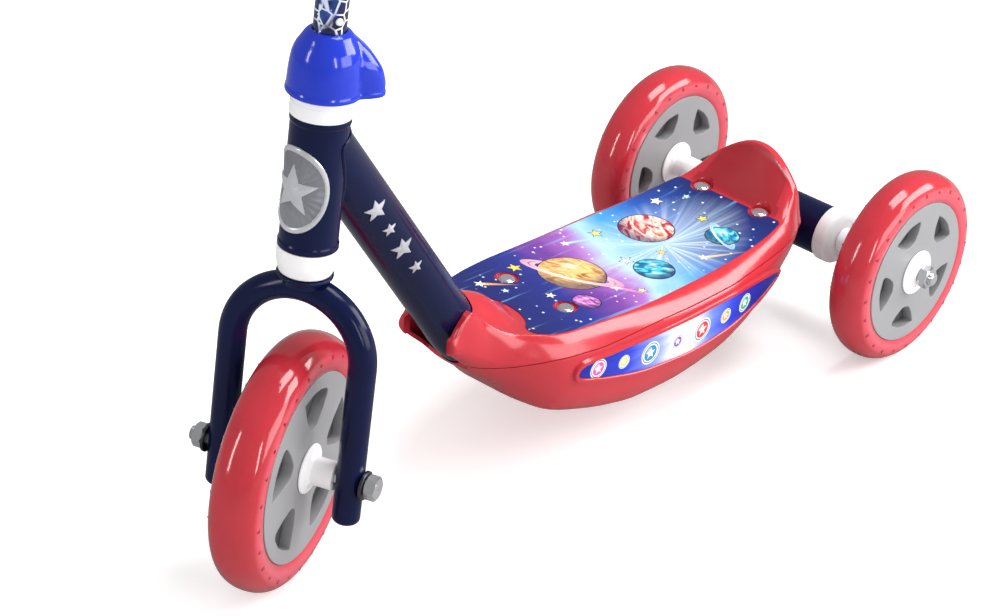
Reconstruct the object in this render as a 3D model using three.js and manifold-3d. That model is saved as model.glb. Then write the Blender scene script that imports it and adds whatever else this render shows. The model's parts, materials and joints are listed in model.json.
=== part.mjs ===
// A three wheel kids scooter: one steered front wheel, two rear wheels on a cross axle, a hollow
// plastic deck on a bent steel tube, and a T handlebar that clamps into the fork's steerer.
//
// Millimetres, +Z up, front towards -Y, the rider's left towards +X. The origin is on the ground,
// midway along the scooter. At rest the handlebar is turned to the left by steerAngle.
import * as THREE from 'three';
import { mergeVertices } from 'three/addons/utils/BufferGeometryUtils.js';
import { LoftGeometry } from 'three/addons/geometries/LoftGeometry.js';
import Module from 'manifold-3d';

const wasm = await Module();
wasm.setup();

// Angles and counts
const degree = Math.PI / 180;
const quarterTurn = Math.PI / 2;
const halfTurn = Math.PI;
const fullTurn = Math.PI * 2;
const rakeAngle = 5 * degree;
const steerAngle = 19 * degree;
const wheelSides = 32;
const tubeSides = 16;
const smallSides = 12;
const windowCount = 5;
const frontWindowPhase = 159 * degree;
const rearWindowPhase = 40 * degree;

// Clearances
const fitGap = 0.3; // between two pieces that touch
const runningGap = 0.3; // between a turning piece and its axle
const overrun = 3; // how far a cutter passes the face that it cuts

// Layout
const wheelbase = 452;
const rearTrack = 193.6;

// Front wheel
const frontTyreRadius = 75;
const frontTyreHalfWidth = 15.5;
const frontDiscRadius = 55.8;
const frontDiscHalfWidth = 14;

// Rear wheels
const rearTyreRadius = 62.5;
const rearTyreHalfWidth = 13.6;
const rearDiscRadius = 46.5;
const rearDiscHalfWidth = 12.8;

// Wheel details shared by the three wheels
const windowDepth = 7;
const windowInnerInset = 9.5; // from the hub flange's edge to a window
const windowOuterInset = 8.5; // from a window to the disc's edge
const hubFlangeRadius = 14.7;
const hubFlangeThickness = 2.2;
const hubSleeveRadius = 8.2;
const hubSpigotRadius = 7;
const hubSpigotLength = 9;
const hubNoseRadius = 7.4;
const hubNoseLength = 2.4;

// Axles and their nuts
const axleRadius = 4;
const nutAcrossFlats = 12.6;
const nutLength = 6.4;
const boltHeadLength = 7;
const threadLength = 2.6; // axle end that shows past its nut
const washerRadius = 8.5;
const washerThickness = 1.8;

// Fork: a bent tube with one leg on each side of the front wheel
const forkTubeRadius = 8;
const forkTubeWall = 1.6;
const forkLegOffset = 39; // from the steering axis to a leg's centre line
const forkLegRise = 70; // from the front axle up to where the arch starts
const forkLegDrop = 27; // from the front axle down to a leg's end
const forkEndPlug = 3; // solid end of a leg
const crownRadius = 16;
const crownRise = 5; // crown ring's top above the arch
const crownHeight = 11;

// Headset, along the steering axis above the front axle
const headTubeRadius = 16.2;
const headTubeWall = 1.8;
const headTubeLength = 77;
const headLipWidth = 0.5;
const headLipHeight = 3;
const collarHeight = 12.5;
const lowerCollarRadius = 16;
const upperCollarRadius = 17;
const bushSleeveLength = 20;
const steererRadius = 11;
const steererWall = 1.5;
const steererRise = 14; // steerer above the upper collar

// Handlebar column, crossbar and grips
const columnRadius = 9;
const columnWall = 1.4;
const columnInsert = 70; // column below the steerer's top
const barHeight = 553; // front axle to crossbar, along the steering axis
const barHalfLength = 146;
const barRadius = 9;
const gripRadius = 12.5;
const gripLength = 98;
const gripFlangeRadius = 19;
const gripFlangeThickness = 4;
const gripEndThickness = 4;
const gripRingCount = 7;
const gripRingDepth = 1.1;

// Clamp and its cover on top of the headset
const clampThickness = 3;
const clampHeight = 13;
const clampSlot = 2.4;
const clampEarLength = 11;
const clampEarWidth = 10;
const clampBoltRadius = 2;
const clampHeadRadius = 3.6;
const clampHeadLength = 3;
const coverRimRadius = 20.2;
const coverHeight = 35;
const coverWall = 1.8;
const coverBead = 0.5;
const coverBeadHeight = 3;
const coverLobeReach = 32;
const coverLobeHalfWidth = 12.5;
const coverLobeRounding = 5;
const coverLobeAngle = 39.5 * degree; // from the handlebar's left side towards the back

// Snap button that holds the column in the steerer
const buttonRadius = 2.1;
const buttonProud = 1.6;
const buttonTravel = 1.4;
const buttonAboveCover = 7.4;
const buttonAngle = -35.7 * degree;
const buttonCollarRadius = 3;
const buttonCollarThickness = 0.9;
const springThickness = 0.6;
const springWidth = 5;
const springLength = 30;

// Main tube: down from the head tube, round a bend and back under the deck
const mainTubeRadius = 16;
const mainTubeWall = 1.8;
const downTubeAngle = 54.6 * degree;
const downTubeDropFromLip = 14.2; // head tube's top down to the two centre lines' crossing
const beamSlope = 2.1 * degree;
const bendRadius = 88;

// Rear cross tube and what it carries
const crossTubeRadius = 16.5;
const crossTubeWall = 1.8;
const crossTubeHalfLength = 41;
const capRadius = 18;
const capLength = 11.5;
const capSpigotLength = 10;
const spacerRadius = 8;

// Deck: a hollow moulding in an upper and a lower shell
const noseSetback = 108; // front axle to the nose
const deckBack = 33; // rear axle to the rear wall
const deckHalfWidth = 60.5;
const deckHeight = 97; // lowest point to the top of the nose's sides
const deckTopRise = 27.5; // rear axle up to the deck's top behind the print
const deckTopShare = 0.655; // where that top lies in the deck's height
const deckWall = 2.8;
const noseSlotLength = 26; // slot under the main tube, from the nose back
const tubeClearance = 0.6;
const tailHalfWidth = 46;
const tailHeight = 29; // from the deck's top to the tail's crest
const tailLean = 42 * degree; // its inner face, back from upright
const tailFoot = 52; // rear axle to the foot of its inner face

// Print on the deck and the trim on its sides
const printThickness = 0.5;
const printSideInset = 0.8;
const printSetback = 60; // nose to the print's front edge
const printBack = 54; // rear axle to the print's rear edge
const noseRoundRadius = 39; // the round cut-out in the print's front edge
const noseRoundSetback = 36; // nose to its centre
const trimProud = 1.6;
const trimMargin = 2.2; // from the trim's edge to its print
const trimSetback = 76; // nose to the trim's front end
const trimBack = 78; // rear axle to the trim's point
const trimHeightShare = 0.428; // of the deck's height
const trimBaseShare = 0.184; // the trim's lowest point, up the deck's height

// Deck fixings
const screwSetback = 102; // nose to the front pair
const screwRearPlace = 53; // rear axle to the rear pair
const screwHalfSpacing = 23;
const screwHeadRadius = 5.2;
const screwHeadHeight = 2;
const screwShankRadius = 2;
const screwHoleGap = 0.4;
const screwTip = 4; // shank below its bracket
const dimpleRadius = 7.2;
const dimpleDepth = 1.4;
const bossRadius = 5.5;
const bracketHalfLength = 32;
const bracketHalfWidth = 8;
const bracketThickness = 2.5;

// Places that follow from the sizes above
const frontAxleHeight = frontTyreRadius;
const rearAxleHeight = rearTyreRadius;
const archTop = forkLegRise + forkLegOffset + forkTubeRadius;
const crownTop = archTop + crownRise;
const headBottom = crownTop + fitGap + collarHeight;
const headTop = headBottom + headTubeLength;
const collarTop = headTop + collarHeight;
const steererTop = collarTop + steererRise;
const coverBottom = collarTop + fitGap;
const buttonHeight = coverBottom + coverHeight + buttonAboveCover;
const rearWheelCentre = rearTrack / 2;
const rearSleeveInner = crossTubeHalfLength + capLength + fitGap;
const deckFront = wheelbase - noseSetback; // rear axle to the nose
const deckClearance = rearAxleHeight + deckTopRise - deckHeight * deckTopShare;
const noseSlotBack = deckFront - noseSlotLength;
const printFront = deckFront - printSetback;
const noseRoundPlace = deckFront - noseRoundSetback;
const screwFrontPlace = deckFront - screwSetback;
const trimLength = deckFront - trimSetback - trimBack;
const trimHeight = deckHeight * trimHeightShare;
const trimBase = deckClearance + deckHeight * trimBaseShare;

// Colours
const navy = 0x131c42;
const red = 0xcd3e48;
const blue = 0x2a49d8;
const white = 0xf1eef2;
const grey = 0xa6a7a9;
const steel = 0xc3c6ca;
const darkSteel = 0x4a4d52;
const printBlue = 0x2c3f9c;

const scooter = new THREE.Group();
const frame = new THREE.Group();
const head = new THREE.Group();
const steering = new THREE.Group();
const frontWheel = new THREE.Group();
const rearWheels = new THREE.Group();
scooter.add(frame);
frame.add(head, rearWheels);
head.add(steering);
steering.add(frontWheel);
head.position.set(0, -wheelbase, frontAxleHeight);
head.rotation.x = -rakeAngle;
steering.rotation.z = steerAngle;
rearWheels.position.z = rearAxleHeight;
for (const group of [head, steering, frontWheel, rearWheels]) group.updateMatrix();

// Only positions, with shared vertices merged and flat triangles dropped.
function weld(geometry) {
  const bare = new THREE.BufferGeometry();
  bare.setAttribute('position', geometry.getAttribute('position'));
  if (geometry.index) bare.setIndex(geometry.index);
  const merged = mergeVertices(bare);
  const corners = merged.index.array;
  const kept = [];
  for (let i = 0; i < corners.length; i += 3) {
    const [a, b, c] = [corners[i], corners[i + 1], corners[i + 2]];
    if (a !== b && b !== c && c !== a) kept.push(a, b, c);
  }
  merged.setIndex(kept);
  return merged;
}

function solid(geometry) {
  const welded = weld(geometry);
  return new wasm.Manifold(new wasm.Mesh({
    numProp: 3,
    vertProperties: new Float32Array(welded.getAttribute('position').array),
    triVerts: new Uint32Array(welded.index.array),
  }));
}

function shapeOf(manifold) {
  const mesh = manifold.getMesh();
  const geometry = new THREE.BufferGeometry();
  geometry.setAttribute('position', new THREE.BufferAttribute(mesh.vertProperties, 3));
  geometry.setIndex(new THREE.BufferAttribute(mesh.triVerts, 1));
  return geometry;
}

function cut(body, ...cutters) {
  return cutters.reduce((rest, cutter) => rest.subtract(cutter), body);
}

function join(body, ...pieces) {
  return pieces.reduce((whole, piece) => whole.add(piece), body);
}

function add(parent, name, shape, color, roughness, metalness = 0) {
  const geometry = shape.isBufferGeometry ? weld(shape) : shapeOf(shape);
  const drawn = geometry.toNonIndexed();
  drawn.computeVertexNormals();
  const mesh = new THREE.Mesh(drawn, new THREE.MeshStandardMaterial({ color, roughness, metalness }));
  mesh.name = name;
  parent.add(mesh);
  return mesh;
}

// A turned body about Z. The profile is a list of [radius, height], anticlockwise when closed.
function turned(profile, sides = tubeSides) {
  const points = profile.map(([radius, height]) => new THREE.Vector2(radius, height));
  const geometry = new THREE.LatheGeometry(points, sides);
  return geometry.rotateX(quarterTurn).rotateZ(quarterTurn);
}

// A ring about Z between two radii and two heights.
function ring(inner, outer, bottom, top, sides = tubeSides) {
  return turned([[inner, bottom], [outer, bottom], [outer, top], [inner, top], [inner, bottom]], sides);
}

function rod(radius, bottom, top, sides = tubeSides) {
  return turned([[0, bottom], [radius, bottom], [radius, top], [0, top]], sides);
}

// A hexagon about Z.
function hexagon(acrossFlats, bottom, top) {
  return rod(acrossFlats / 2 / Math.cos(halfTurn / 6), bottom, top, 6);
}

// Turns a body about Z into one about X, its top towards +X.
function alongX(geometry) {
  return geometry.rotateY(quarterTurn);
}

function box(width, depth, height, x, y, z) {
  return new THREE.BoxGeometry(width, depth, height).translate(x, y, z);
}

// A path through chosen stations, each with its point and its direction.
class StationPath extends THREE.Curve {
  constructor(stations) {
    super();
    this.stations = stations;
  }

  at(share) {
    return this.stations[Math.round(share * (this.stations.length - 1))];
  }

  getPointAt(share) {
    return this.at(share).point.clone();
  }

  getTangentAt(share) {
    return this.at(share).direction.clone();
  }
}

function station(point, direction) {
  return { point, direction: direction.clone().normalize() };
}

// Stations round an arc, from one angle to another in the plane of two unit vectors.
function arcStations(centre, across, up, radius, from, to, steps) {
  const turn = Math.sign(to - from);
  return Array.from({ length: steps + 1 }, (_, i) => {
    const angle = from + (to - from) * i / steps;
    const outward = across.clone().multiplyScalar(Math.cos(angle)).addScaledVector(up, Math.sin(angle));
    const along = across.clone().multiplyScalar(-turn * Math.sin(angle))
      .addScaledVector(up, turn * Math.cos(angle));
    return station(centre.clone().addScaledVector(outward, radius), along);
  });
}

function extrudeAlong(outline, stations) {
  const extrudePath = new StationPath(stations);
  return new THREE.ExtrudeGeometry(outline, { steps: stations.length - 1, extrudePath });
}

// A solid round bar along a path.
function tube(stations, radius, sides) {
  const section = new THREE.Shape();
  for (let i = 0; i < sides; i++) {
    const angle = fullTurn * i / sides + halfTurn / sides;
    const point = [radius * Math.cos(angle), radius * Math.sin(angle)];
    if (i === 0) section.moveTo(...point);
    else section.lineTo(...point);
  }
  section.closePath();
  return extrudeAlong(section, stations);
}

// One fan-shaped window of a wheel disc, with a sharp leading corner and round others.
function windowOutline(innerRadius, outerRadius) {
  const outerHalfAngle = 20 * degree;
  const innerHalfAngle = 10 * degree;
  const cornerShare = 0.3;
  const at = (radius, angle) => new THREE.Vector2(radius * Math.cos(angle), radius * Math.sin(angle));
  const depth = outerRadius - innerRadius;
  const shape = new THREE.Shape();
  const tip = at(outerRadius, outerHalfAngle);
  const heel = at(outerRadius, -outerHalfAngle);
  shape.moveTo(tip.x, tip.y);
  const side = at(innerRadius + depth * cornerShare, innerHalfAngle);
  const toe = at(innerRadius, 0);
  const back = at(innerRadius + depth * cornerShare, -innerHalfAngle);
  const innerTip = at(innerRadius, innerHalfAngle);
  const innerBack = at(innerRadius, -innerHalfAngle);
  shape.lineTo(side.x, side.y);
  shape.quadraticCurveTo(innerTip.x, innerTip.y, toe.x, toe.y);
  shape.quadraticCurveTo(innerBack.x, innerBack.y, back.x, back.y);
  const heelSide = at(outerRadius - depth * cornerShare, -outerHalfAngle);
  shape.lineTo(heelSide.x, heelSide.y);
  const heelTop = at(outerRadius, -outerHalfAngle * (1 - cornerShare));
  shape.quadraticCurveTo(heel.x, heel.y, heelTop.x, heelTop.y);
  const crown = at(outerRadius / Math.cos(outerHalfAngle / 2), outerHalfAngle * cornerShare / 2);
  shape.quadraticCurveTo(crown.x, crown.y, tip.x, tip.y);
  return shape;
}

// The grey disc: hub bore, and a ring of blind windows in each face.
function wheelDisc(radius, halfWidth, phase) {
  const bore = hubSpigotRadius + fitGap;
  let disc = solid(alongX(ring(bore, radius, -halfWidth, halfWidth, wheelSides)));
  const outline = windowOutline(hubFlangeRadius + windowInnerInset, radius - windowOuterInset);
  for (const side of [-1, 1]) {
    for (let i = 0; i < windowCount; i++) {
      const pocket = new THREE.ExtrudeGeometry(outline, {
        depth: windowDepth + overrun, bevelEnabled: false, curveSegments: 2,
      });
      if (side < 0) pocket.rotateX(halfTurn);
      pocket.rotateZ(phase + quarterTurn + fullTurn * i / windowCount);
      pocket.translate(0, 0, side * (halfWidth - windowDepth));
      disc = cut(disc, solid(alongX(pocket)));
    }
  }
  return disc;
}

// The tyre: a round crown over a plain bore that grips the disc.
function wheelTyre(radius, halfWidth, discRadius, discHalfWidth) {
  const shoulderShare = 0.3;
  const lipShare = 0.97;
  const bore = discRadius + fitGap;
  const middle = discRadius + (radius - discRadius) * shoulderShare;
  const steps = 7;
  const profile = [];
  for (let i = 0; i <= steps; i++) {
    const angle = -quarterTurn + halfTurn * i / steps;
    profile.push([middle + (radius - middle) * Math.cos(angle), halfWidth * Math.sin(angle)]);
  }
  profile.push([bore, discHalfWidth * lipShare], [bore, -discHalfWidth * lipShare], profile[0]);
  return alongX(turned(profile, wheelSides));
}

// A flanged bush on the outside of a disc, with a sleeve of the given length, or a short nose.
function wheelBush(side, halfWidth, sleeveRadius, sleeveLength) {
  const bore = axleRadius + runningGap;
  const face = halfWidth + fitGap;
  const rim = face + hubFlangeThickness / 2;
  const top = face + hubFlangeThickness;
  const end = top + sleeveLength;
  const profile = [
    [bore, halfWidth - hubSpigotLength], [hubSpigotRadius, halfWidth - hubSpigotLength],
    [hubSpigotRadius, face], [hubFlangeRadius, face], [hubFlangeRadius, rim],
    [sleeveRadius + hubFlangeThickness, top], [sleeveRadius, top + hubFlangeThickness / 2],
    [sleeveRadius, end], [bore, end], [bore, halfWidth - hubSpigotLength],
  ];
  const bush = alongX(turned(profile, smallSides));
  return side < 0 ? bush.rotateZ(halfTurn) : bush;
}

function addWheel(parent, name, sizes, phase) {
  const tyre = wheelTyre(sizes.radius, sizes.halfWidth, sizes.disc, sizes.discHalf);
  add(parent, `${name}_tyre`, tyre, red, 0.25);
  add(parent, `${name}_disc`, wheelDisc(sizes.disc, sizes.discHalf, phase), grey, 0.5);
}

function addFrontWheel() {
  const sizes = {
    radius: frontTyreRadius, halfWidth: frontTyreHalfWidth,
    disc: frontDiscRadius, discHalf: frontDiscHalfWidth,
  };
  addWheel(frontWheel, 'front_wheel', sizes, frontWindowPhase);
  const legFace = forkLegOffset - forkTubeRadius - fitGap;
  const sleeve = legFace - frontDiscHalfWidth - fitGap - hubFlangeThickness;
  for (const [side, word] of [[1, 'left'], [-1, 'right']]) {
    const bush = wheelBush(side, frontDiscHalfWidth, hubSleeveRadius, sleeve);
    add(frontWheel, `front_wheel_bush_${word}`, bush, white, 0.35);
  }
}

function addRearWheel(side, word) {
  const hub = new THREE.Group();
  hub.position.x = side * rearWheelCentre;
  rearWheels.add(hub);
  const sizes = {
    radius: rearTyreRadius, halfWidth: rearTyreHalfWidth,
    disc: rearDiscRadius, discHalf: rearDiscHalfWidth,
  };
  addWheel(hub, `rear_${word}_wheel`, sizes, rearWindowPhase);
  const sleeve = rearWheelCentre - rearDiscHalfWidth - fitGap - hubFlangeThickness - rearSleeveInner;
  const inner = wheelBush(-side, rearDiscHalfWidth, spacerRadius, sleeve);
  add(hub, `rear_${word}_bush_inner`, inner, white, 0.35);
  const outer = wheelBush(side, rearDiscHalfWidth, hubNoseRadius, hubNoseLength);
  add(hub, `rear_${word}_bush_outer`, outer, white, 0.35);
}

// A nut between two places on an axle along X.
function axleNut(side, inner, length) {
  const nut = hexagon(nutAcrossFlats, inner, inner + length);
  const bored = cut(solid(nut), solid(rod(axleRadius + fitGap, inner - overrun, inner + length + overrun)));
  const geometry = alongX(shapeOf(bored));
  return side < 0 ? geometry.rotateZ(halfTurn) : geometry;
}

function addFrontAxle() {
  const washerIn = forkLegOffset + forkTubeRadius + fitGap;
  const washerOut = washerIn + washerThickness;
  const headIn = washerOut + fitGap;
  const threadEnd = headIn + nutLength + threadLength;
  const shank = solid(alongX(rod(axleRadius, -threadEnd, headIn + overrun, smallSides)));
  const boltHead = solid(alongX(hexagon(nutAcrossFlats, headIn, headIn + boltHeadLength)));
  add(steering, 'front_axle_bolt', join(shank, boltHead), steel, 0.25, 1);
  const washer = ring(axleRadius + fitGap, washerRadius, washerIn, washerOut, smallSides);
  add(steering, 'front_axle_washer_left', alongX(washer.clone()), darkSteel, 0.4, 1);
  add(steering, 'front_axle_washer_right', alongX(washer.clone()).rotateZ(halfTurn), darkSteel, 0.4, 1);
  add(steering, 'front_axle_nut', axleNut(-1, headIn, nutLength), steel, 0.25, 1);
}

// The centre line of the fork: up one leg, round the arch and down the other.
function forkStations(drop) {
  const across = new THREE.Vector3(1, 0, 0);
  const up = new THREE.Vector3(0, 0, 1);
  const down = up.clone().negate();
  const start = new THREE.Vector3(-forkLegOffset, 0, -drop);
  const end = new THREE.Vector3(forkLegOffset, 0, -drop);
  const centre = new THREE.Vector3(0, 0, forkLegRise);
  return [
    station(start, up),
    ...arcStations(centre, across, up, forkLegOffset, halfTurn, 0, 12),
    station(end, down),
  ];
}

function forkOuter(extra) {
  return solid(tube(forkStations(forkLegDrop), forkTubeRadius + extra, smallSides));
}

function addFork() {
  const core = solid(tube(forkStations(forkLegDrop - forkEndPlug), forkTubeRadius - forkTubeWall, 8));
  const reach = forkLegOffset + forkTubeRadius + overrun;
  const hole = solid(alongX(rod(axleRadius + fitGap, -reach, reach, smallSides)));
  add(steering, 'fork', cut(forkOuter(0), core, hole), navy, 0.3, 0.2);
}

// The crown ring and the steerer stand on the arch, coped to its tube.
function addCrown() {
  const arch = forkOuter(fitGap);
  const crownBottom = crownTop - crownHeight;
  const crownRing = solid(ring(steererRadius + fitGap, crownRadius, crownBottom, crownTop));
  add(steering, 'crown_ring', crownRing.subtract(arch), navy, 0.3, 0.2);
  const steerer = solid(ring(steererRadius - steererWall, steererRadius, crownBottom, steererTop));
  add(steering, 'steerer_tube', cut(steerer, arch), navy, 0.35, 0.2);
}

// A white bush: its collar shows past the head tube and its sleeve goes inside.
function headsetBush(collarRadius, collarFrom, collarTo, sleeveTo) {
  const bore = steererRadius + runningGap;
  const sleeve = headTubeRadius - headTubeWall - fitGap;
  const up = Math.sign(collarTo - collarFrom);
  const profile = [
    [bore, collarFrom], [collarRadius, collarFrom], [collarRadius, collarTo],
    [sleeve, collarTo], [sleeve, sleeveTo], [bore, sleeveTo], [bore, collarFrom],
  ];
  return turned(up > 0 ? profile : profile.reverse());
}

function addHead() {
  const lip = headTubeRadius + headLipWidth;
  const inner = headTubeRadius - headTubeWall;
  const profile = [
    [inner, headBottom], [lip, headBottom], [lip, headBottom + headLipHeight],
    [headTubeRadius, headBottom + headLipHeight + headLipWidth],
    [headTubeRadius, headTop - headLipHeight - headLipWidth], [lip, headTop - headLipHeight],
    [lip, headTop], [inner, headTop], [inner, headBottom],
  ];
  add(head, 'head_tube', turned(profile), navy, 0.3, 0.2);
  const lower = headsetBush(
    lowerCollarRadius, headBottom - collarHeight, headBottom - fitGap, headBottom + bushSleeveLength,
  );
  add(head, 'headset_bush_lower', lower, white, 0.4);
  const upper = headsetBush(
    upperCollarRadius, headTop + collarHeight, headTop + fitGap, headTop - bushSleeveLength,
  );
  add(head, 'headset_bush_upper', upper, white, 0.4);
}

// The split clamp ring round the steerer, with two ears and the bolt through them.
function addClamp() {
  const bottom = collarTop + fitGap + coverWall;
  const inner = steererRadius + fitGap;
  const outer = inner + clampThickness;
  const middle = bottom + clampHeight / 2;
  const earReach = outer + clampEarLength;
  const ears = solid(box(earReach, clampEarWidth, clampHeight, earReach / 2, 0, middle));
  const slot = solid(box(earReach, clampSlot, clampHeight + overrun, (earReach + overrun) / 2, 0, middle));
  const bore = solid(rod(inner, bottom - overrun, bottom + clampHeight + overrun));
  const boltAt = outer + clampEarLength / 2;
  const boltHole = solid(rod(clampBoltRadius + fitGap, -clampEarWidth, clampEarWidth, smallSides)
    .rotateX(quarterTurn).translate(boltAt, 0, middle));
  const body = join(solid(rod(outer, bottom, bottom + clampHeight)), ears);
  const place = new THREE.Group();
  place.rotation.z = coverLobeAngle;
  steering.add(place);
  add(place, 'clamp_ring', cut(body, bore, slot, boltHole), steel, 0.35, 1);
  const half = clampEarWidth / 2 + fitGap;
  const bolt = turned([
    [0, -half - clampHeadLength / 2], [clampBoltRadius, -half - clampHeadLength / 2],
    [clampBoltRadius, half], [clampHeadRadius, half], [clampHeadRadius, half + clampHeadLength],
    [0, half + clampHeadLength],
  ], smallSides);
  add(place, 'clamp_bolt', bolt.rotateX(quarterTurn).translate(boltAt, 0, middle), steel, 0.3, 1);
}

// The cover: a bell round the clamp ring with a lobe over its ears, open below. The shares are of
// its radius and height for the bell, of its reach and height for the lobe.
const bellShares = [[1, 0], [0.99, 0.25], [0.94, 0.58], [0.86, 0.73], [0.74, 0.85], [0.6, 0.97], [0.52, 1]];
const lobeShares = [[1, 0], [1, 0.14], [0.95, 0.36], [0.8, 0.58], [0.56, 0.8], [0.3, 0.95], [0, 0.98]];

function coverBody(inset) {
  const rise = coverHeight - inset;
  const start = inset > 0 ? -overrun : 0;
  const height = (share) => coverBottom + (share === 0 ? start : share * rise);
  const bell = bellShares.map(([out, up]) => [coverRimRadius * out - inset, height(up)]);
  bell.unshift([0, coverBottom + start]);
  bell.push([0, coverBottom + rise]);
  const edge = coverLobeRounding - inset / 2;
  const foot = coverBottom + start - edge * 2;
  const outline = lobeShares.map(([out, up]) => new THREE.Vector2(
    (coverLobeReach - inset - edge) * out, up === 0 ? foot : height(up) - edge,
  ));
  outline.push(new THREE.Vector2(0, foot));
  const lobe = new THREE.ExtrudeGeometry(new THREE.Shape(outline), {
    depth: 2 * (coverLobeHalfWidth - inset - edge), bevelSegments: 2, bevelSize: edge, bevelThickness: edge,
  });
  lobe.translate(0, 0, -(coverLobeHalfWidth - inset - edge)).rotateX(quarterTurn);
  const reach = coverLobeReach * 2;
  const below = box(reach * 2, reach * 2, reach, 0, 0, coverBottom + start - reach / 2);
  return join(solid(turned(bell, 20)), solid(lobe).subtract(solid(below)));
}

function addCover() {
  const place = new THREE.Group();
  place.rotation.z = coverLobeAngle;
  steering.add(place);
  const bore = columnRadius + fitGap;
  const top = coverBottom + coverHeight;
  const hole = solid(rod(bore, coverBottom, top + overrun));
  const beadTop = coverBottom + coverBeadHeight;
  const bead = solid(ring(
    coverRimRadius - coverWall, coverRimRadius + coverBead, coverBottom, beadTop, 20,
  ));
  const shell = cut(join(coverBody(0), bead), coverBody(coverWall), hole);
  add(place, 'clamp_cover', shell, blue, 0.22);
}

function addHandlebar() {
  const bottom = steererTop - columnInsert;
  const column = solid(ring(columnRadius - columnWall, columnRadius, bottom, barHeight));
  const barWay = alongX(rod(barRadius + fitGap, -columnRadius * 2, columnRadius * 2));
  const barCutter = solid(barWay.translate(0, 0, barHeight));
  const holeLength = columnRadius + overrun;
  const hole = solid(alongX(rod(buttonRadius + fitGap, 0, holeLength, smallSides)).rotateZ(buttonAngle)
    .translate(0, 0, buttonHeight));
  add(steering, 'handlebar_column', cut(column, barCutter, hole), navy, 0.3, 0.2);
  const bar = ring(barRadius - columnWall, barRadius, -barHalfLength, barHalfLength);
  add(steering, 'handlebar_crossbar', alongX(bar).translate(0, 0, barHeight), navy, 0.3, 0.2);
  for (const [side, word] of [[1, 'left'], [-1, 'right']]) addGrip(side, word);
}

// A soft grip: an inner flange, ribs, and a closed end over the bar.
function addGrip(side, word) {
  const bore = barRadius + fitGap;
  const barEnd = barHalfLength + fitGap;
  const start = barHalfLength - gripLength;
  const end = barEnd + gripEndThickness;
  const ribZone = end - gripEndThickness - gripFlangeThickness - start;
  const pitch = ribZone / gripRingCount;
  const grooveShare = 0.2;
  const profile = [[bore, start], [gripFlangeRadius, start], [gripFlangeRadius, start + gripFlangeThickness]];
  for (let i = 0; i < gripRingCount; i++) {
    const low = start + gripFlangeThickness + pitch * i;
    profile.push([gripRadius, low], [gripRadius, low + pitch * (1 - grooveShare)]);
    profile.push([gripRadius - gripRingDepth, low + pitch * (1 - grooveShare / 2)]);
  }
  profile.push([gripRadius, end - gripEndThickness], [gripRadius - gripRingDepth, end], [0, end]);
  profile.push([0, barEnd], [bore, barEnd], [bore, start]);
  const grip = alongX(turned(profile, 14));
  if (side < 0) grip.rotateZ(halfTurn);
  add(steering, `grip_${word}`, grip.translate(0, 0, barHeight), red, 0.6);
}

// The button stands out of the column; behind it a bent strip spring reaches down and back up.
function addSnapButton() {
  const place = new THREE.Group();
  place.position.z = buttonHeight;
  place.rotation.z = buttonAngle;
  steering.add(place);
  const bore = columnRadius - columnWall;
  const collarOut = bore * Math.cos(halfTurn / tubeSides) - fitGap - buttonCollarThickness;
  const collarIn = collarOut - buttonCollarThickness;
  const tip = columnRadius + buttonProud;
  const button = turned([
    [0, collarIn], [buttonCollarRadius, collarIn], [buttonCollarRadius, collarOut],
    [buttonRadius, collarOut], [buttonRadius, tip - buttonRadius / 2], [buttonRadius / 2, tip], [0, tip],
  ], smallSides);
  add(place, 'snap_button', alongX(button), white, 0.35);
  const near = collarIn - fitGap - springThickness / 2;
  const far = -bore * Math.cos(halfTurn / tubeSides) + buttonTravel + fitGap * 2 + springThickness;
  const drop = springLength - (near - far) / 2;
  const across = new THREE.Vector3(1, 0, 0);
  const up = new THREE.Vector3(0, 0, 1);
  const bendCentre = new THREE.Vector3((near + far) / 2, 0, -drop);
  const stations = [
    station(new THREE.Vector3(near, 0, buttonCollarRadius), up.clone().negate()),
    ...arcStations(bendCentre, across, up, (near - far) / 2, 0, -halfTurn, 6),
    station(new THREE.Vector3(far, 0, 0), up),
  ];
  const strip = new THREE.Shape([
    new THREE.Vector2(-springWidth / 2, -springThickness / 2),
    new THREE.Vector2(springWidth / 2, -springThickness / 2),
    new THREE.Vector2(springWidth / 2, springThickness / 2),
    new THREE.Vector2(-springWidth / 2, springThickness / 2),
  ]);
  add(place, 'snap_spring', extrudeAlong(strip, stations), steel, 0.3, 1);
}

// The main tube's centre line, from the head tube's axis to the rear cross tube.
function mainTubeStations(backEnd) {
  const crossing = headTop - downTubeDropFromLip;
  const top = new THREE.Vector3(
    0, -wheelbase + crossing * Math.sin(rakeAngle), frontAxleHeight + crossing * Math.cos(rakeAngle),
  );
  const across = new THREE.Vector3(0, 1, 0);
  const up = new THREE.Vector3(0, 0, 1);
  const down = new THREE.Vector3(0, Math.cos(downTubeAngle), -Math.sin(downTubeAngle));
  const back = new THREE.Vector3(0, Math.cos(beamSlope), -Math.sin(beamSlope));
  const axle = new THREE.Vector3(0, 0, rearAxleHeight);
  const spread = axle.clone().sub(top);
  const along = (spread.y * back.z - spread.z * back.y) / (down.y * back.z - down.z * back.y);
  const corner = top.clone().addScaledVector(down, along);
  const bend = downTubeAngle - beamSlope;
  const bendEnd = corner.clone().addScaledVector(back, bendRadius * Math.tan(bend / 2));
  const inward = new THREE.Vector3(0, Math.sin(beamSlope), Math.cos(beamSlope));
  const centre = bendEnd.addScaledVector(inward, bendRadius);
  return [
    station(top, down),
    ...arcStations(
      centre, across, up, bendRadius, -quarterTurn - downTubeAngle, -quarterTurn - beamSlope, 6,
    ),
    station(axle.clone().addScaledVector(back, -backEnd), back),
  ];
}

function mainTubeSolid(radius, sides, backEnd) {
  return solid(tube(mainTubeStations(backEnd), radius, sides));
}

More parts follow.
